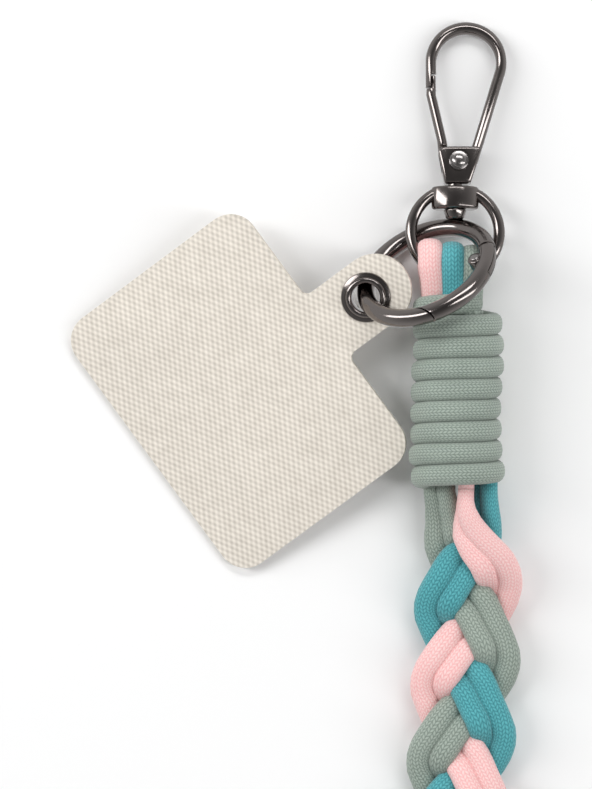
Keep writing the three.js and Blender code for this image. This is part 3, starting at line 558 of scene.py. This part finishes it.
# Loops: the same cords' own bends over the swivel's ring, pink, teal and sage side by side. Each goes down
# into the whipping above the ring and below it
EYE_RADIUS = 8.67
HOOK_TIP_REACH = 41.9
HOOK_DEPTH = 3
HOOK_WIRE = 2.1
HOOK_LEAN = math.asin((EYE_CENTRE[2] - HOOK_DEPTH / 2) / (HOOK_TIP_REACH - HOOK_WIRE / 2))
LOOPS = (("pink", -4.95, 26.3, 3.7), ("teal", -0.65, 25.7, 3.7), ("sage", 3.35, 25.35, 3.4))
LOOP_HALF_WIDE = 2.3
LOOP_HALF_DEEP = 1.85
LOOP_SWELL = 0.09
LOOP_SPREAD = 3.6
LOOP_END_DOWN = 3


def loop_run(index, x, rise, bend):
    middle = EYE_CENTRE[2] + math.sqrt(EYE_RADIUS**2 - x**2) * math.sin(HOOK_LEAN)
    end_x = WRAP_AXIS[0] + FIRST_SHIFT / 2 + (index - 1) * LOOP_SPREAD
    end_y = WRAP_TOP - LOOP_END_DOWN
    side_x = (end_x + x) / 2
    side_y = (end_y + rise) / 2 + 1
    corner = bend * math.sqrt(0.5)
    front = [
        (end_x, end_y, 0.7 * bend),
        (side_x, side_y, 0.97 * bend),
        (x, rise, bend),
        (x, rise + corner, corner),
    ]
    back = [(px, py, -pz) for px, py, pz in reversed(front)]
    points = [(px, py, middle + pz) for px, py, pz in (*front, (x, rise + bend, 0), *back)]
    line = resampled(smooth_route(points, 12), 64)
    return line, np.tile([1.0, 0.0, 0.0], (len(line), 1))


for place_name, place_x in ENDS:
    for index, (colour, x, rise, bend) in enumerate(LOOPS):
        line, sideways = loop_run(index, x, rise, bend)
        line[:, 0] += place_x
        swell = 1 + LOOP_SWELL * np.sin(np.linspace(0, np.pi, len(line))) ** 2
        loop = cord_skin([(line, sideways, LOOP_HALF_WIDE * swell, LOOP_HALF_DEEP)])
        name = f"{place_name}_loop_{colour}"
        piece_name = f"{place_name}_cord_loop_{colour}"
        finish_piece(loop, piece_name, "strap", f"{colour}_cord", BRAIDS[colour], name)


# Snap hook: cast metal plated in dark nickel. The bow's cheeks hold the sprung gate by a domed rivet, and its
# stem turns in the swivel's block. It lies on its tip and leans down from the swivel
BOW_RADIUS = 6.95
BOW_OFFSET = 2.3
ARM_LEAN = math.radians(17)
NOSE_LIP = 5
TOP_SWELL = 0.2
NOSE_STEP = 2.7
CHEEK_BOTTOM = 9.55
CHEEK_TOP = 16.9
CHEEK_DEPTH = 4.4
SLOT_RIGHT = 2.9
SLOT_BOTTOM = 11.8
SLOT_WIDTH = 2.2
CUT_PAST = 20
GATE_FOOT = (-2.25, CHEEK_TOP - 1.6)
GATE_NECK = (-2.38, CHEEK_TOP + 0.1)
GATE_COLLAR = (-2.4, CHEEK_TOP + 0.35)
GATE_HEEL = (-2.5, CHEEK_TOP + 1.2)
GATE_HALF_WIDE = 0.98
GATE_HALF_DEEP = 1.42
FOOT_THINNING = 0.7
LIP_HALF_WIDE = 0.48
LIP_HALF_DEEP = 1.06
RIVET = (0.73, 14.0)
HEAD_RADIUS = 1.9
HEAD_THICK = 0.5
DOME_RADIUS = 1.45
DOME_FLATNESS = 0.4
FOOT_RADIUS = 1.75
SHANK_RADIUS = 1.0
RECESS_RADIUS = 2.3
RECESS_DEEP = 0.3
STEM_RADIUS = 1.4
STEM_LENGTH = 6
STEM_MIDDLE = 6.5
NECK_RADIUS = 1.2
NECK_LENGTH = 1.4
NECK_MIDDLE = 9.4
COLLAR_WIDE = 2.35
COLLAR_NARROW = 1.75
COLLAR_LENGTH = 1.8
COLLAR_MIDDLE = 3.55
BOW_Y = HOOK_TIP_REACH - BOW_RADIUS - HOOK_WIRE / 2
BOW_LEFT = BOW_OFFSET - BOW_RADIUS
NOSE_END = BOW_Y - NOSE_LIP
eye_place = Matrix.Translation(STRAP_ZERO + Vector(EYE_CENTRE) * MM)
hook_place = eye_place @ Matrix.Rotation(-HOOK_LEAN, 4, "X")


def plated(name, colour, roughness):
    material, tree, surface = new_material(name, {"Metallic": 1.0, "Base Color": (*colour, 1)})
    place = shade(tree, "ShaderNodeTexCoord", {}, output=3)
    mottle = shade(tree, "ShaderNodeTexNoise", {"noise_dimensions": "3D"}, place, 500.0, 2.0)
    tree.links.new((mottle * 0.12 + (roughness - 0.06)).socket, surface.inputs["Roughness"])
    raised_by(tree, surface, mottle, 0.05, 0.0002)
    return material


NICKEL = plated("dark_nickel", (0.2, 0.18, 0.172), 0.14)
PIN_NICKEL = plated("pin_nickel", (0.27, 0.255, 0.25), 0.22)


def rod_end(x, y, heading, half_wide, half_deep, sides=24):
    """The flat end of a rod that leaves it along a heading in the piece's own flat plane."""
    bpy.ops.object.select_all(action="DESELECT")
    bpy.ops.mesh.primitive_circle_add(
        vertices=sides,
        radius=1,
        fill_type="NGON",
        location=(x * MM, y * MM, 0),
        rotation=(math.pi / 2, 0, heading + math.pi / 2),
    )
    rod = bpy.context.object
    rod.scale = (half_wide * MM, half_deep * MM, 1)
    bpy.ops.object.transform_apply(location=True, rotation=True, scale=True)
    bpy.ops.object.mode_set(mode="EDIT")
    bpy.ops.mesh.select_all(action="SELECT")
    return rod


def rod_straight(along_x, along_y):
    bpy.ops.mesh.extrude_region_move(TRANSFORM_OT_translate={"value": (along_x * MM, along_y * MM, 0)})


def rod_turn(centre_x, centre_y, angle, steps):
    """Carries the rod's last end round a centre, anticlockwise for an angle above zero."""
    bpy.ops.mesh.spin(steps=steps, angle=-angle, center=(centre_x * MM, centre_y * MM, 0), axis=(0, 0, 1))


def rod_done(rod):
    bpy.ops.mesh.select_all(action="SELECT")
    bpy.ops.mesh.remove_doubles(threshold=0.000001)
    bpy.ops.mesh.normals_make_consistent(inside=False)
    bpy.ops.object.mode_set(mode="OBJECT")
    return rod


def rod_through(points, half_wide, half_deep):
    rod = rod_end(*points[0], math.pi / 2, half_wide, half_deep)
    for (ax, ay), (bx, by) in zip(points, points[1:]):
        rod_straight(bx - ax, by - ay)
    return rod_done(rod)


def rod_arc(radius, start, end, steps, half_thick, sides=24):
    x = radius * math.cos(start)
    y = radius * math.sin(start)
    rod = rod_end(x, y, start + math.pi / 2, half_thick, half_thick, sides)
    rod_turn(0, 0, end - start, steps)
    return rod_done(rod)


def modified(piece, kind, **settings):
    bpy.context.view_layer.objects.active = piece
    modifier = piece.modifiers.new(kind.lower(), kind)
    for key, value in settings.items():
        setattr(modifier, key, value)
    bpy.ops.object.modifier_apply(modifier=modifier.name)
    return piece


def softened(piece, width, segments=3, angle=35):
    modified(piece, "BEVEL", width=width * MM, segments=segments, angle_limit=math.radians(angle))
    bpy.ops.object.select_all(action="DESELECT")
    piece.select_set(True)
    bpy.context.view_layer.objects.active = piece
    bpy.ops.object.shade_smooth_by_angle(angle=math.radians(38))
    return piece


def joined(pieces):
    bpy.ops.object.select_all(action="DESELECT")
    for piece in pieces:
        piece.select_set(True)
    bpy.context.view_layer.objects.active = pieces[0]
    if len(pieces) > 1:
        bpy.ops.object.join()
    return bpy.context.object


def applied(piece):
    bpy.context.view_layer.objects.active = piece
    piece.select_set(True)
    bpy.ops.object.transform_apply(location=True, rotation=True, scale=True)
    return piece


def column(x, y, z, radius, height, axis="Z", sides=48):
    turn = {"Z": (0, 0, 0), "Y": (math.pi / 2, 0, 0)}[axis]
    bpy.ops.mesh.primitive_cylinder_add(
        vertices=sides,
        radius=radius * MM,
        depth=height * MM,
        location=(x * MM, y * MM, z * MM),
        rotation=turn,
    )
    return applied(bpy.context.object)


def lying(piece, matrix):
    piece.data.transform(matrix)
    return piece


def cut_out(piece, tool):
    modified(piece, "BOOLEAN", operation="DIFFERENCE", solver="EXACT", object=tool)
    bpy.data.objects.remove(tool, do_unlink=True)
    return piece


def slab(x0, x1, y0, y1, depth):
    bpy.ops.mesh.primitive_cube_add(size=1, location=((x0 + x1) / 2 * MM, (y0 + y1) / 2 * MM, 0))
    block = bpy.context.object
    block.scale = ((x1 - x0) * MM, (y1 - y0) * MM, depth * MM)
    return applied(block)


def arm_point(y):
    leave_x = BOW_OFFSET + BOW_RADIUS * math.cos(ARM_LEAN)
    leave_y = BOW_Y - BOW_RADIUS * math.sin(ARM_LEAN)
    return leave_x - (leave_y - y) * math.tan(ARM_LEAN), y


def bow():
    rod = rod_end(BOW_LEFT, NOSE_END, math.pi / 2, HOOK_WIRE / 2, HOOK_DEPTH / 2)
    rod_straight(0, NOSE_LIP)
    rod_turn(BOW_OFFSET, BOW_Y, -math.pi - ARM_LEAN, 44)
    leave_x = BOW_OFFSET + BOW_RADIUS * math.cos(ARM_LEAN)
    leave_y = BOW_Y - BOW_RADIUS * math.sin(ARM_LEAN)
    foot_x, foot_y = arm_point(RIVET[1])
    rod_straight(foot_x - leave_x, foot_y - leave_y)
    rod_done(rod)
    for vertex in rod.data.vertices:
        out = Vector((vertex.co.x - BOW_OFFSET * MM, vertex.co.y - BOW_Y * MM))
        if out.y > 0:
            thicker = 1 + TOP_SWELL * out.y / out.length
            swelled = out.normalized() * (BOW_RADIUS * MM + (out.length - BOW_RADIUS * MM) * thicker)
            vertex.co.x = BOW_OFFSET * MM + swelled.x
            vertex.co.y = BOW_Y * MM + swelled.y
    return rod


def cheeks():
    arm_outer = arm_point(CHEEK_TOP)[0] + HOOK_WIRE / 2
    corners = [
        (-2.1, CHEEK_BOTTOM),
        (2.75, CHEEK_BOTTOM),
        (3.1, CHEEK_BOTTOM + 0.35),
        (arm_outer - 0.1, CHEEK_TOP - 0.3),
        (arm_outer - 1.2, CHEEK_TOP),
        (-2.15, CHEEK_TOP),
        (-3.35, CHEEK_TOP - 0.6),
    ]
    bpy.ops.mesh.primitive_cube_add(size=1, location=(1 * MM, 13.2 * MM, 0))
    plate = bpy.context.object
    plate.scale = (12 * MM, 12 * MM, CHEEK_DEPTH * MM)
    applied(plate)
    bpy.ops.object.mode_set(mode="EDIT")
    for (ax, ay), (bx, by) in zip(corners, corners[1:] + corners[:1]):
        bpy.ops.mesh.select_all(action="SELECT")
        bpy.ops.mesh.bisect(
            plane_co=(ax * MM, ay * MM, 0),
            plane_no=Vector((by - ay, ax - bx, 0)).normalized(),
            threshold=0.000001,
            use_fill=True,
            clear_outer=True,
        )
    bpy.ops.object.mode_set(mode="OBJECT")
    return softened(plate, 0.5, 3)


def gate():
    tip = [(BOW_LEFT + 0.02, NOSE_END - 1.5), (BOW_LEFT + 0.05, NOSE_END - 0.25)]
    points = [GATE_FOOT, GATE_NECK, GATE_COLLAR, GATE_HEEL, *tip]
    lever = rod_through(points, GATE_HALF_WIDE, GATE_HALF_DEEP)
    for vertex in lever.data.vertices:
        if vertex.co.y < (CHEEK_TOP + 0.2) * MM:
            vertex.co.z *= FOOT_THINNING
    lip_ends = [(BOW_LEFT + 0.5, NOSE_END - 1), (BOW_LEFT + 0.48, NOSE_END + NOSE_STEP - 0.35)]
    lip = rod_through(lip_ends, LIP_HALF_WIDE, LIP_HALF_DEEP)
    return softened(joined([lever, lip]), 0.12, 2, 50)


def rivet():
    face = CHEEK_DEPTH / 2
    head = column(*RIVET, face + 0.05, HEAD_RADIUS, HEAD_THICK)
    bpy.ops.mesh.primitive_uv_sphere_add(
        segments=32,
        ring_count=16,
        radius=DOME_RADIUS * MM,
        location=(RIVET[0] * MM, RIVET[1] * MM, (face + 0.1) * MM),
    )
    dome = bpy.context.object
    dome.scale = (1, 1, DOME_FLATNESS)
    applied(dome)
    foot = column(*RIVET, -face - 0.1, FOOT_RADIUS, HEAD_THICK)
    shank = column(*RIVET, 0, SHANK_RADIUS, CHEEK_DEPTH)
    return softened(joined([head, dome, foot, shank]), 0.12, 2, 40)


def hook_body():
    plate = cheeks()
    cut_out(plate, column(*RIVET, CHEEK_DEPTH / 2, RECESS_RADIUS, 2 * RECESS_DEEP))
    cut_out(plate, slab(-CUT_PAST, SLOT_RIGHT, SLOT_BOTTOM, CUT_PAST, SLOT_WIDTH))
    arch = bow()
    cut_out(arch, slab(BOW_LEFT + 0.02, BOW_LEFT + 2, NOSE_END - 1, NOSE_END + NOSE_STEP, 4))
    softened(arch, 0.12, 2, 50)
    neck = column(0, NECK_MIDDLE, 0, NECK_RADIUS, NECK_LENGTH, "Y")
    bpy.ops.mesh.primitive_cone_add(
        vertices=12,
        radius1=COLLAR_WIDE * MM,
        radius2=COLLAR_NARROW * MM,
        depth=COLLAR_LENGTH * MM,
        location=(0, COLLAR_MIDDLE * MM, 0),
        rotation=(math.pi / 2, 0, 0),
    )
    collar = softened(applied(bpy.context.object), 0.3, 3)
    stem = column(0, STEM_MIDDLE, 0, STEM_RADIUS, STEM_LENGTH, "Y")
    return joined([plate, arch, neck, collar, stem])


hook = lying(hook_body(), hook_place)
finish_piece(hook, "snap_hook_bow", "hook", "gunmetal", NICKEL, "hook_body")
hook_rivet = lying(rivet(), hook_place)
finish_piece(hook_rivet, "snap_hook_rivet", "hook", "dark_pin", PIN_NICKEL, "hook_rivet")
hook_gate = lying(gate(), hook_place)
finish_piece(hook_gate, "snap_hook_gate", "hook_gate", "gunmetal", NICKEL, "hook_gate")


# Swivel: a cast barrel-shaped block of the same metal, bored for the hook's stem, with a round wire ring
# cast to its two ends
EYE_WIRE = 2.26
BLOCK_TOP = 9.05
BLOCK_BOTTOM = 4.55
BLOCK_WIDTH = 9.3
BLOCK_DEPTH = 5.5
BLOCK_CHAMFER = 0.55
STEM_BORE = 1.75
RING_INTO_BLOCK = 0.6


def swivel_eye():
    bpy.ops.mesh.primitive_cylinder_add(vertices=40, radius=0.5, depth=1)
    block = bpy.context.object
    block.rotation_euler = (math.pi / 2, 0, 0)
    applied(block)
    block.scale = (BLOCK_WIDTH * MM, (BLOCK_TOP - BLOCK_BOTTOM) * MM, BLOCK_DEPTH * MM)
    middle = (BLOCK_TOP + BLOCK_BOTTOM) / 2
    block.location = (0, middle * MM, 0)
    applied(block)
    softened(block, BLOCK_CHAMFER, 3, 30)
    cut_out(block, column(0, middle, 0, STEM_BORE, 8, "Y"))
    hidden = math.acos((BLOCK_WIDTH / 2 - RING_INTO_BLOCK) / EYE_RADIUS)
    ring = rod_arc(EYE_RADIUS, math.pi - hidden, 2 * math.pi + hidden, 96, EYE_WIRE / 2)
    softened(ring, 0.1, 2, 50)
    return joined([block, ring])


eye = lying(swivel_eye(), hook_place)
finish_piece(eye, "swivel_ring", "strap", "gunmetal", NICKEL, "swivel_eye")


# Gate ring: a round spring ring of thicker plated wire, whose gate turns inwards on a pin and shuts against
# a slanted seam. It leans on its side against the whipping
RING_RADIUS = 12.77
RING_WIRE = 3.6
RING_CENTRE = (-5.79, 24.97)
RING_ALONG = math.radians(28.2)
RING_TILT = math.radians(53)
HINGE_FROM = math.radians(11.5)
PIN_AT = math.radians(28.5)
SLOT_END = math.radians(47)
GATE_TO = math.radians(111)
SEAM_LEAN = math.radians(52)
SEAM_OVERLAP = 0.34
PIN_INSET = 2
SEAM = 0.3
SEAM_CUT_WIDE = 16
SEAM_CUT_ALONG = 6
SEAM_CUT_DEEP = 8
SLOT_INWARDS = 2
SLOT_OUTWARDS = 4
HINGE_SLOT_WIDTH = 1.5
TONGUE_WIDTH = 1.1
TONGUE_CLEARANCE = 0.25
KNUCKLE_LONG = 3.0
KNUCKLE_RADIUS = 1.5
PIN_LONG = 3.7
PIN_RADIUS = 0.95

ring_along = Vector((math.cos(RING_ALONG), math.sin(RING_ALONG), 0))
ring_flat = Vector((math.sin(RING_ALONG), -math.cos(RING_ALONG), 0))
ring_climb = ring_flat * math.cos(RING_TILT) + Vector((0, 0, math.sin(RING_TILT)))
ring_normal = ring_along.cross(ring_climb)
ring_height = RING_RADIUS * math.sin(RING_TILT) + RING_WIRE / 2
ring_place = Matrix((ring_along, ring_climb, ring_normal)).transposed().to_4x4()
ring_place.translation = STRAP_ZERO + Vector((*RING_CENTRE, ring_height)) * MM


def ring_arc(start, end, steps, wire=RING_WIRE):
    return rod_arc(RING_RADIUS, start, end, steps, wire / 2, sides=32)


def turned(piece, angle, at):
    """Moves a cutting block out to a place on the ring, turned there in the ring's plane."""
    spot = Vector((RING_RADIUS * math.cos(at), RING_RADIUS * math.sin(at), 0)) * MM
    piece.data.transform(Matrix.Translation(spot) @ Matrix.Rotation(angle, 4, "Z"))
    return piece


def beside_seam(side):
    block = slab(-SEAM_CUT_WIDE / 2, SEAM_CUT_WIDE / 2, -SEAM / 2, SEAM_CUT_ALONG, SEAM_CUT_DEEP)
    inwards = GATE_TO + math.pi - SEAM_LEAN
    return turned(block, inwards + (math.pi if side > 0 else 0), GATE_TO)


def hinge_slot(depth, margin):
    half_turn = (SLOT_END - HINGE_FROM) / 2
    half = RING_RADIUS * math.sin(half_turn) - margin
    block = slab(-SLOT_INWARDS, SLOT_OUTWARDS, -half, half, depth)
    return turned(block, HINGE_FROM + half_turn, HINGE_FROM + half_turn)


def knuckle(depth, radius):
    at = RING_RADIUS - PIN_INSET
    return softened(column(at * math.cos(PIN_AT), at * math.sin(PIN_AT), 0, radius, depth), 0.35, 3)


def tongue():
    arc = ring_arc(HINGE_FROM - 0.1, SLOT_END, 24, RING_WIRE * 0.97)
    keep = hinge_slot(TONGUE_WIDTH, TONGUE_CLEARANCE)
    modified(arc, "BOOLEAN", operation="INTERSECT", solver="EXACT", object=keep)
    bpy.data.objects.remove(keep, do_unlink=True)
    return arc


bow_arc = cut_out(ring_arc(GATE_TO - SEAM_OVERLAP, 2 * math.pi + HINGE_FROM, 130), beside_seam(-1))
ring_body = lying(joined([softened(bow_arc, 0.15, 2, 50), softened(tongue(), 0.08, 2, 50)]), ring_place)
finish_piece(ring_body, "gate_ring_bow", "strap", "gunmetal", NICKEL, "gate_ring")
gate_arc = ring_arc(HINGE_FROM + SEAM / RING_RADIUS, GATE_TO + SEAM_OVERLAP, 60)
cut_out(gate_arc, beside_seam(1))
cut_out(gate_arc, hinge_slot(HINGE_SLOT_WIDTH, 0))
softened(gate_arc, 0.15, 2, 50)
ring_gate = lying(joined([gate_arc, knuckle(KNUCKLE_LONG, KNUCKLE_RADIUS)]), ring_place)
finish_piece(ring_gate, "gate_ring_lever", "ring_gate", "gunmetal", NICKEL, "gate_ring_gate")
ring_pin = lying(knuckle(PIN_LONG, PIN_RADIUS), ring_place)
finish_piece(ring_pin, "gate_ring_hinge_pin", "strap", "dark_pin", PIN_NICKEL, "gate_ring_pin")


# Patch: a stiff cream cloth in plain weave, cut with rounded corners and a tab, and lying from the ring
# down to the surface. It stays between a phone and its case
PATCH_LONG = 60
PATCH_DEEP = 44
PATCH_THICK = 1.5
PATCH_CORNER = 5.5
PATCH_TURN = math.radians(36.3)
TAB_WIDTH = 14.4
TAB_LENGTH = 19.2
TAB_FILLET = 1.6
EYELET_INSET = 9.8
EYELET_AT = math.radians(190)
EYELET_BORE = 3.9
WEAVE_ALONG = 0.58
WEAVE_ACROSS = 0.95
# The cream pair: a painted shade for the hollows between threads and the lit colour of the thread crowns
CREAM_HOLLOW_SHADE = (0.50, 0.455, 0.395)
CREAM_LIT_CROWN = (0.9, 0.84, 0.755)

eyelet_way = ring_along * math.cos(EYELET_AT) + ring_climb * math.sin(EYELET_AT)
eyelet_centre = ring_place.translation + eyelet_way * RING_RADIUS * MM
patch_slope = math.asin((eyelet_centre.z / MM - PATCH_THICK / 2) / (EYELET_INSET + PATCH_DEEP))
patch_place = Matrix.Translation(eyelet_centre)
patch_place = patch_place @ Matrix.Rotation(PATCH_TURN, 4, "Z") @ Matrix.Rotation(-patch_slope, 4, "Y")


def arc_points(x, y, radius, start, end, steps):
    turns = [start + (end - start) * i / steps for i in range(steps + 1)]
    return [(x + radius * math.cos(t), y + radius * math.sin(t)) for t in turns]


def patch_outline():
    shoulder = -EYELET_INSET
    back = shoulder - PATCH_DEEP
    side = PATCH_LONG / 2
    half = TAB_WIDTH / 2
    tip = TAB_LENGTH - EYELET_INSET - half
    quarter = math.pi / 2
    corner = PATCH_CORNER
    fillet = TAB_FILLET
    return [
        *arc_points(back + corner, -side + corner, corner, 2 * quarter, 3 * quarter, 12),
        *arc_points(shoulder - corner, -side + corner, corner, 3 * quarter, 4 * quarter, 12),
        *arc_points(shoulder + fillet, -half - fillet, fillet, 2 * quarter, quarter, 6),
        *arc_points(tip, 0, half, -quarter, quarter, 36),
        *arc_points(shoulder + fillet, half + fillet, fillet, 3 * quarter, 2 * quarter, 6),
        *arc_points(shoulder - corner, side - corner, corner, 0, quarter, 12),
        *arc_points(back + corner, side - corner, corner, quarter, 2 * quarter, 12),
    ]


def flat_area(points):
    pairs = zip(points, points[1:] + points[:1])
    return abs(sum(ax * by - bx * ay for (ax, ay), (bx, by) in pairs)) / 2


def cream_weave():
    material, tree, surface = new_material("cream_weave", {"Roughness": 0.85, "Specular IOR Level": 0.2})
    parts = shade(tree, "ShaderNodeSeparateXYZ", {}, shade(tree, "ShaderNodeUVMap", {"uv_map": "cloth"}))
    along = parts * (math.pi / WEAVE_ALONG)
    across = Field(tree, parts.socket.node.outputs[1]) * (math.pi / WEAVE_ACROSS)
    checks = along.math("SINE") * across.math("SINE")
    place = shade(tree, "ShaderNodeTexCoord", {}, output=3)
    patchy = shade(tree, "ShaderNodeTexNoise", {"noise_dimensions": "3D"}, place, 400.0, 2.0)
    height = checks * 0.5 + 0.5
    # Colour follows the weave relief: painted shade in the hollows, lighter on the crowns, with random patchy
    # tone on top
    colours_by(tree, surface, height * 0.75 + patchy * 0.4 - 0.02, CREAM_HOLLOW_SHADE, CREAM_LIT_CROWN)
    raised_by(tree, surface, height, 0.5, 0.0002)
    return material


def patch_sheet():
    outline = patch_outline()
    rim = arc_points(0, 0, EYELET_BORE, 0, 2 * math.pi, 40)[:-1]
    mesh = bpy.data.meshes.new("patch")
    points = [(x * MM, y * MM, 0) for x, y in outline + rim]
    count = len(outline)
    edges = [(i, (i + 1) % count) for i in range(count)]
    edges += [(count + i, count + (i + 1) % len(rim)) for i in range(len(rim))]
    mesh.from_pydata(points, edges, [])
    cloth = bpy.data.objects.new("patch", mesh)
    bpy.context.collection.objects.link(cloth)
    bpy.ops.object.select_all(action="DESELECT")
    cloth.select_set(True)
    bpy.context.view_layer.objects.active = cloth
    bpy.ops.object.mode_set(mode="EDIT")
    bpy.ops.mesh.select_all(action="SELECT")
    bpy.ops.mesh.remove_doubles(threshold=0.000001)
    bpy.ops.mesh.select_all(action="SELECT")
    bpy.ops.mesh.fill()
    bpy.ops.mesh.select_all(action="SELECT")
    bpy.ops.mesh.normals_make_consistent(inside=False)
    bpy.ops.object.mode_set(mode="OBJECT")
    modified(cloth, "SOLIDIFY", thickness=PATCH_THICK * MM, offset=0)
    softened(cloth, 0.4, 3)
    chart = cloth.data.uv_layers.new(name="cloth")
    for loop in cloth.data.loops:
        at = cloth.data.vertices[loop.vertex_index].co
        chart.data[loop.index].uv = (at.x / MM, at.y / MM)
    return cloth, flat_area(outline) * MM * MM


patch, patch_area = patch_sheet()
finish_piece(lying(patch, patch_place), "woven_patch", "strap", "cream_weave", cream_weave(), "patch")


# Eyelet: a plated ring pressed from thin metal, with a flat flange and a rolled inner lip, clenched through
# the tab from both sides
EYELET_FLANGE = 4.95
FLANGE_THICK = 0.45
ROLL_MAJOR = 3.45
ROLL_MINOR = 0.62


def spun(profile, sides=64):
    """A closed ring: an edge loop carried along the section, wider or narrower at each step."""
    bpy.ops.object.select_all(action="DESELECT")
    (r, z), *rest = profile
    bpy.ops.mesh.primitive_circle_add(vertices=sides, radius=r * MM, location=(0, 0, z * MM))
    piece = bpy.context.object
    bpy.ops.object.transform_apply(location=True, rotation=True, scale=True)
    bpy.ops.object.mode_set(mode="EDIT")
    bpy.ops.mesh.select_all(action="SELECT")
    for next_r, next_z in rest:
        bpy.ops.mesh.extrude_edges_move(TRANSFORM_OT_translate={"value": (0, 0, (next_z - z) * MM)})
        bpy.ops.transform.resize(value=(next_r / r, next_r / r, 1), center_override=(0, 0, 0))
        r, z = next_r, next_z
    bpy.ops.mesh.select_all(action="SELECT")
    bpy.ops.mesh.remove_doubles(threshold=0.000001)
    bpy.ops.mesh.normals_make_consistent(inside=False)
    bpy.ops.object.mode_set(mode="OBJECT")
    bpy.ops.object.shade_smooth_by_angle(angle=math.radians(50))
    return piece


def eyelet_profile():
    seat = PATCH_THICK / 2 + 0.05
    lip = seat + FLANGE_THICK
    turns = [math.radians(angle) for angle in range(10, 181, 17)]
    roll = [(ROLL_MAJOR + ROLL_MINOR * math.cos(t), lip - 0.1 + ROLL_MINOR * math.sin(t)) for t in turns]
    flange = [(EYELET_FLANGE, seat), (EYELET_FLANGE - 0.12, seat + 0.3), (EYELET_FLANGE - 0.5, lip - 0.05)]
    upper = [*flange, *roll]
    lower = [(r, -z) for r, z in reversed(upper)]
    return [*upper, *lower, upper[0]]


eyelet = lying(spun(eyelet_profile()), patch_place)
finish_piece(eyelet, "tab_eyelet", "strap", "gunmetal", NICKEL, "eyelet")


# Far hook: the same swivel hook at the strap's other end, which the photograph leaves out, so it is one
# plain closed piece
far_place = Matrix.Translation(Vector((FAR_END_X * MM, 0, 0))) @ hook_place
far_points = [GATE_FOOT, GATE_HEEL, (BOW_LEFT, NOSE_END - 1), (BOW_LEFT, NOSE_END + 0.6)]
far_bar = softened(rod_through(far_points, GATE_HALF_WIDE, GATE_HALF_DEEP), 0.12, 2, 50)
far_hook = lying(joined([hook_body(), swivel_eye(), rivet(), far_bar]), far_place)
finish_piece(far_hook, "far_snap_hook", "strap", "gunmetal", NICKEL, "far_hook")
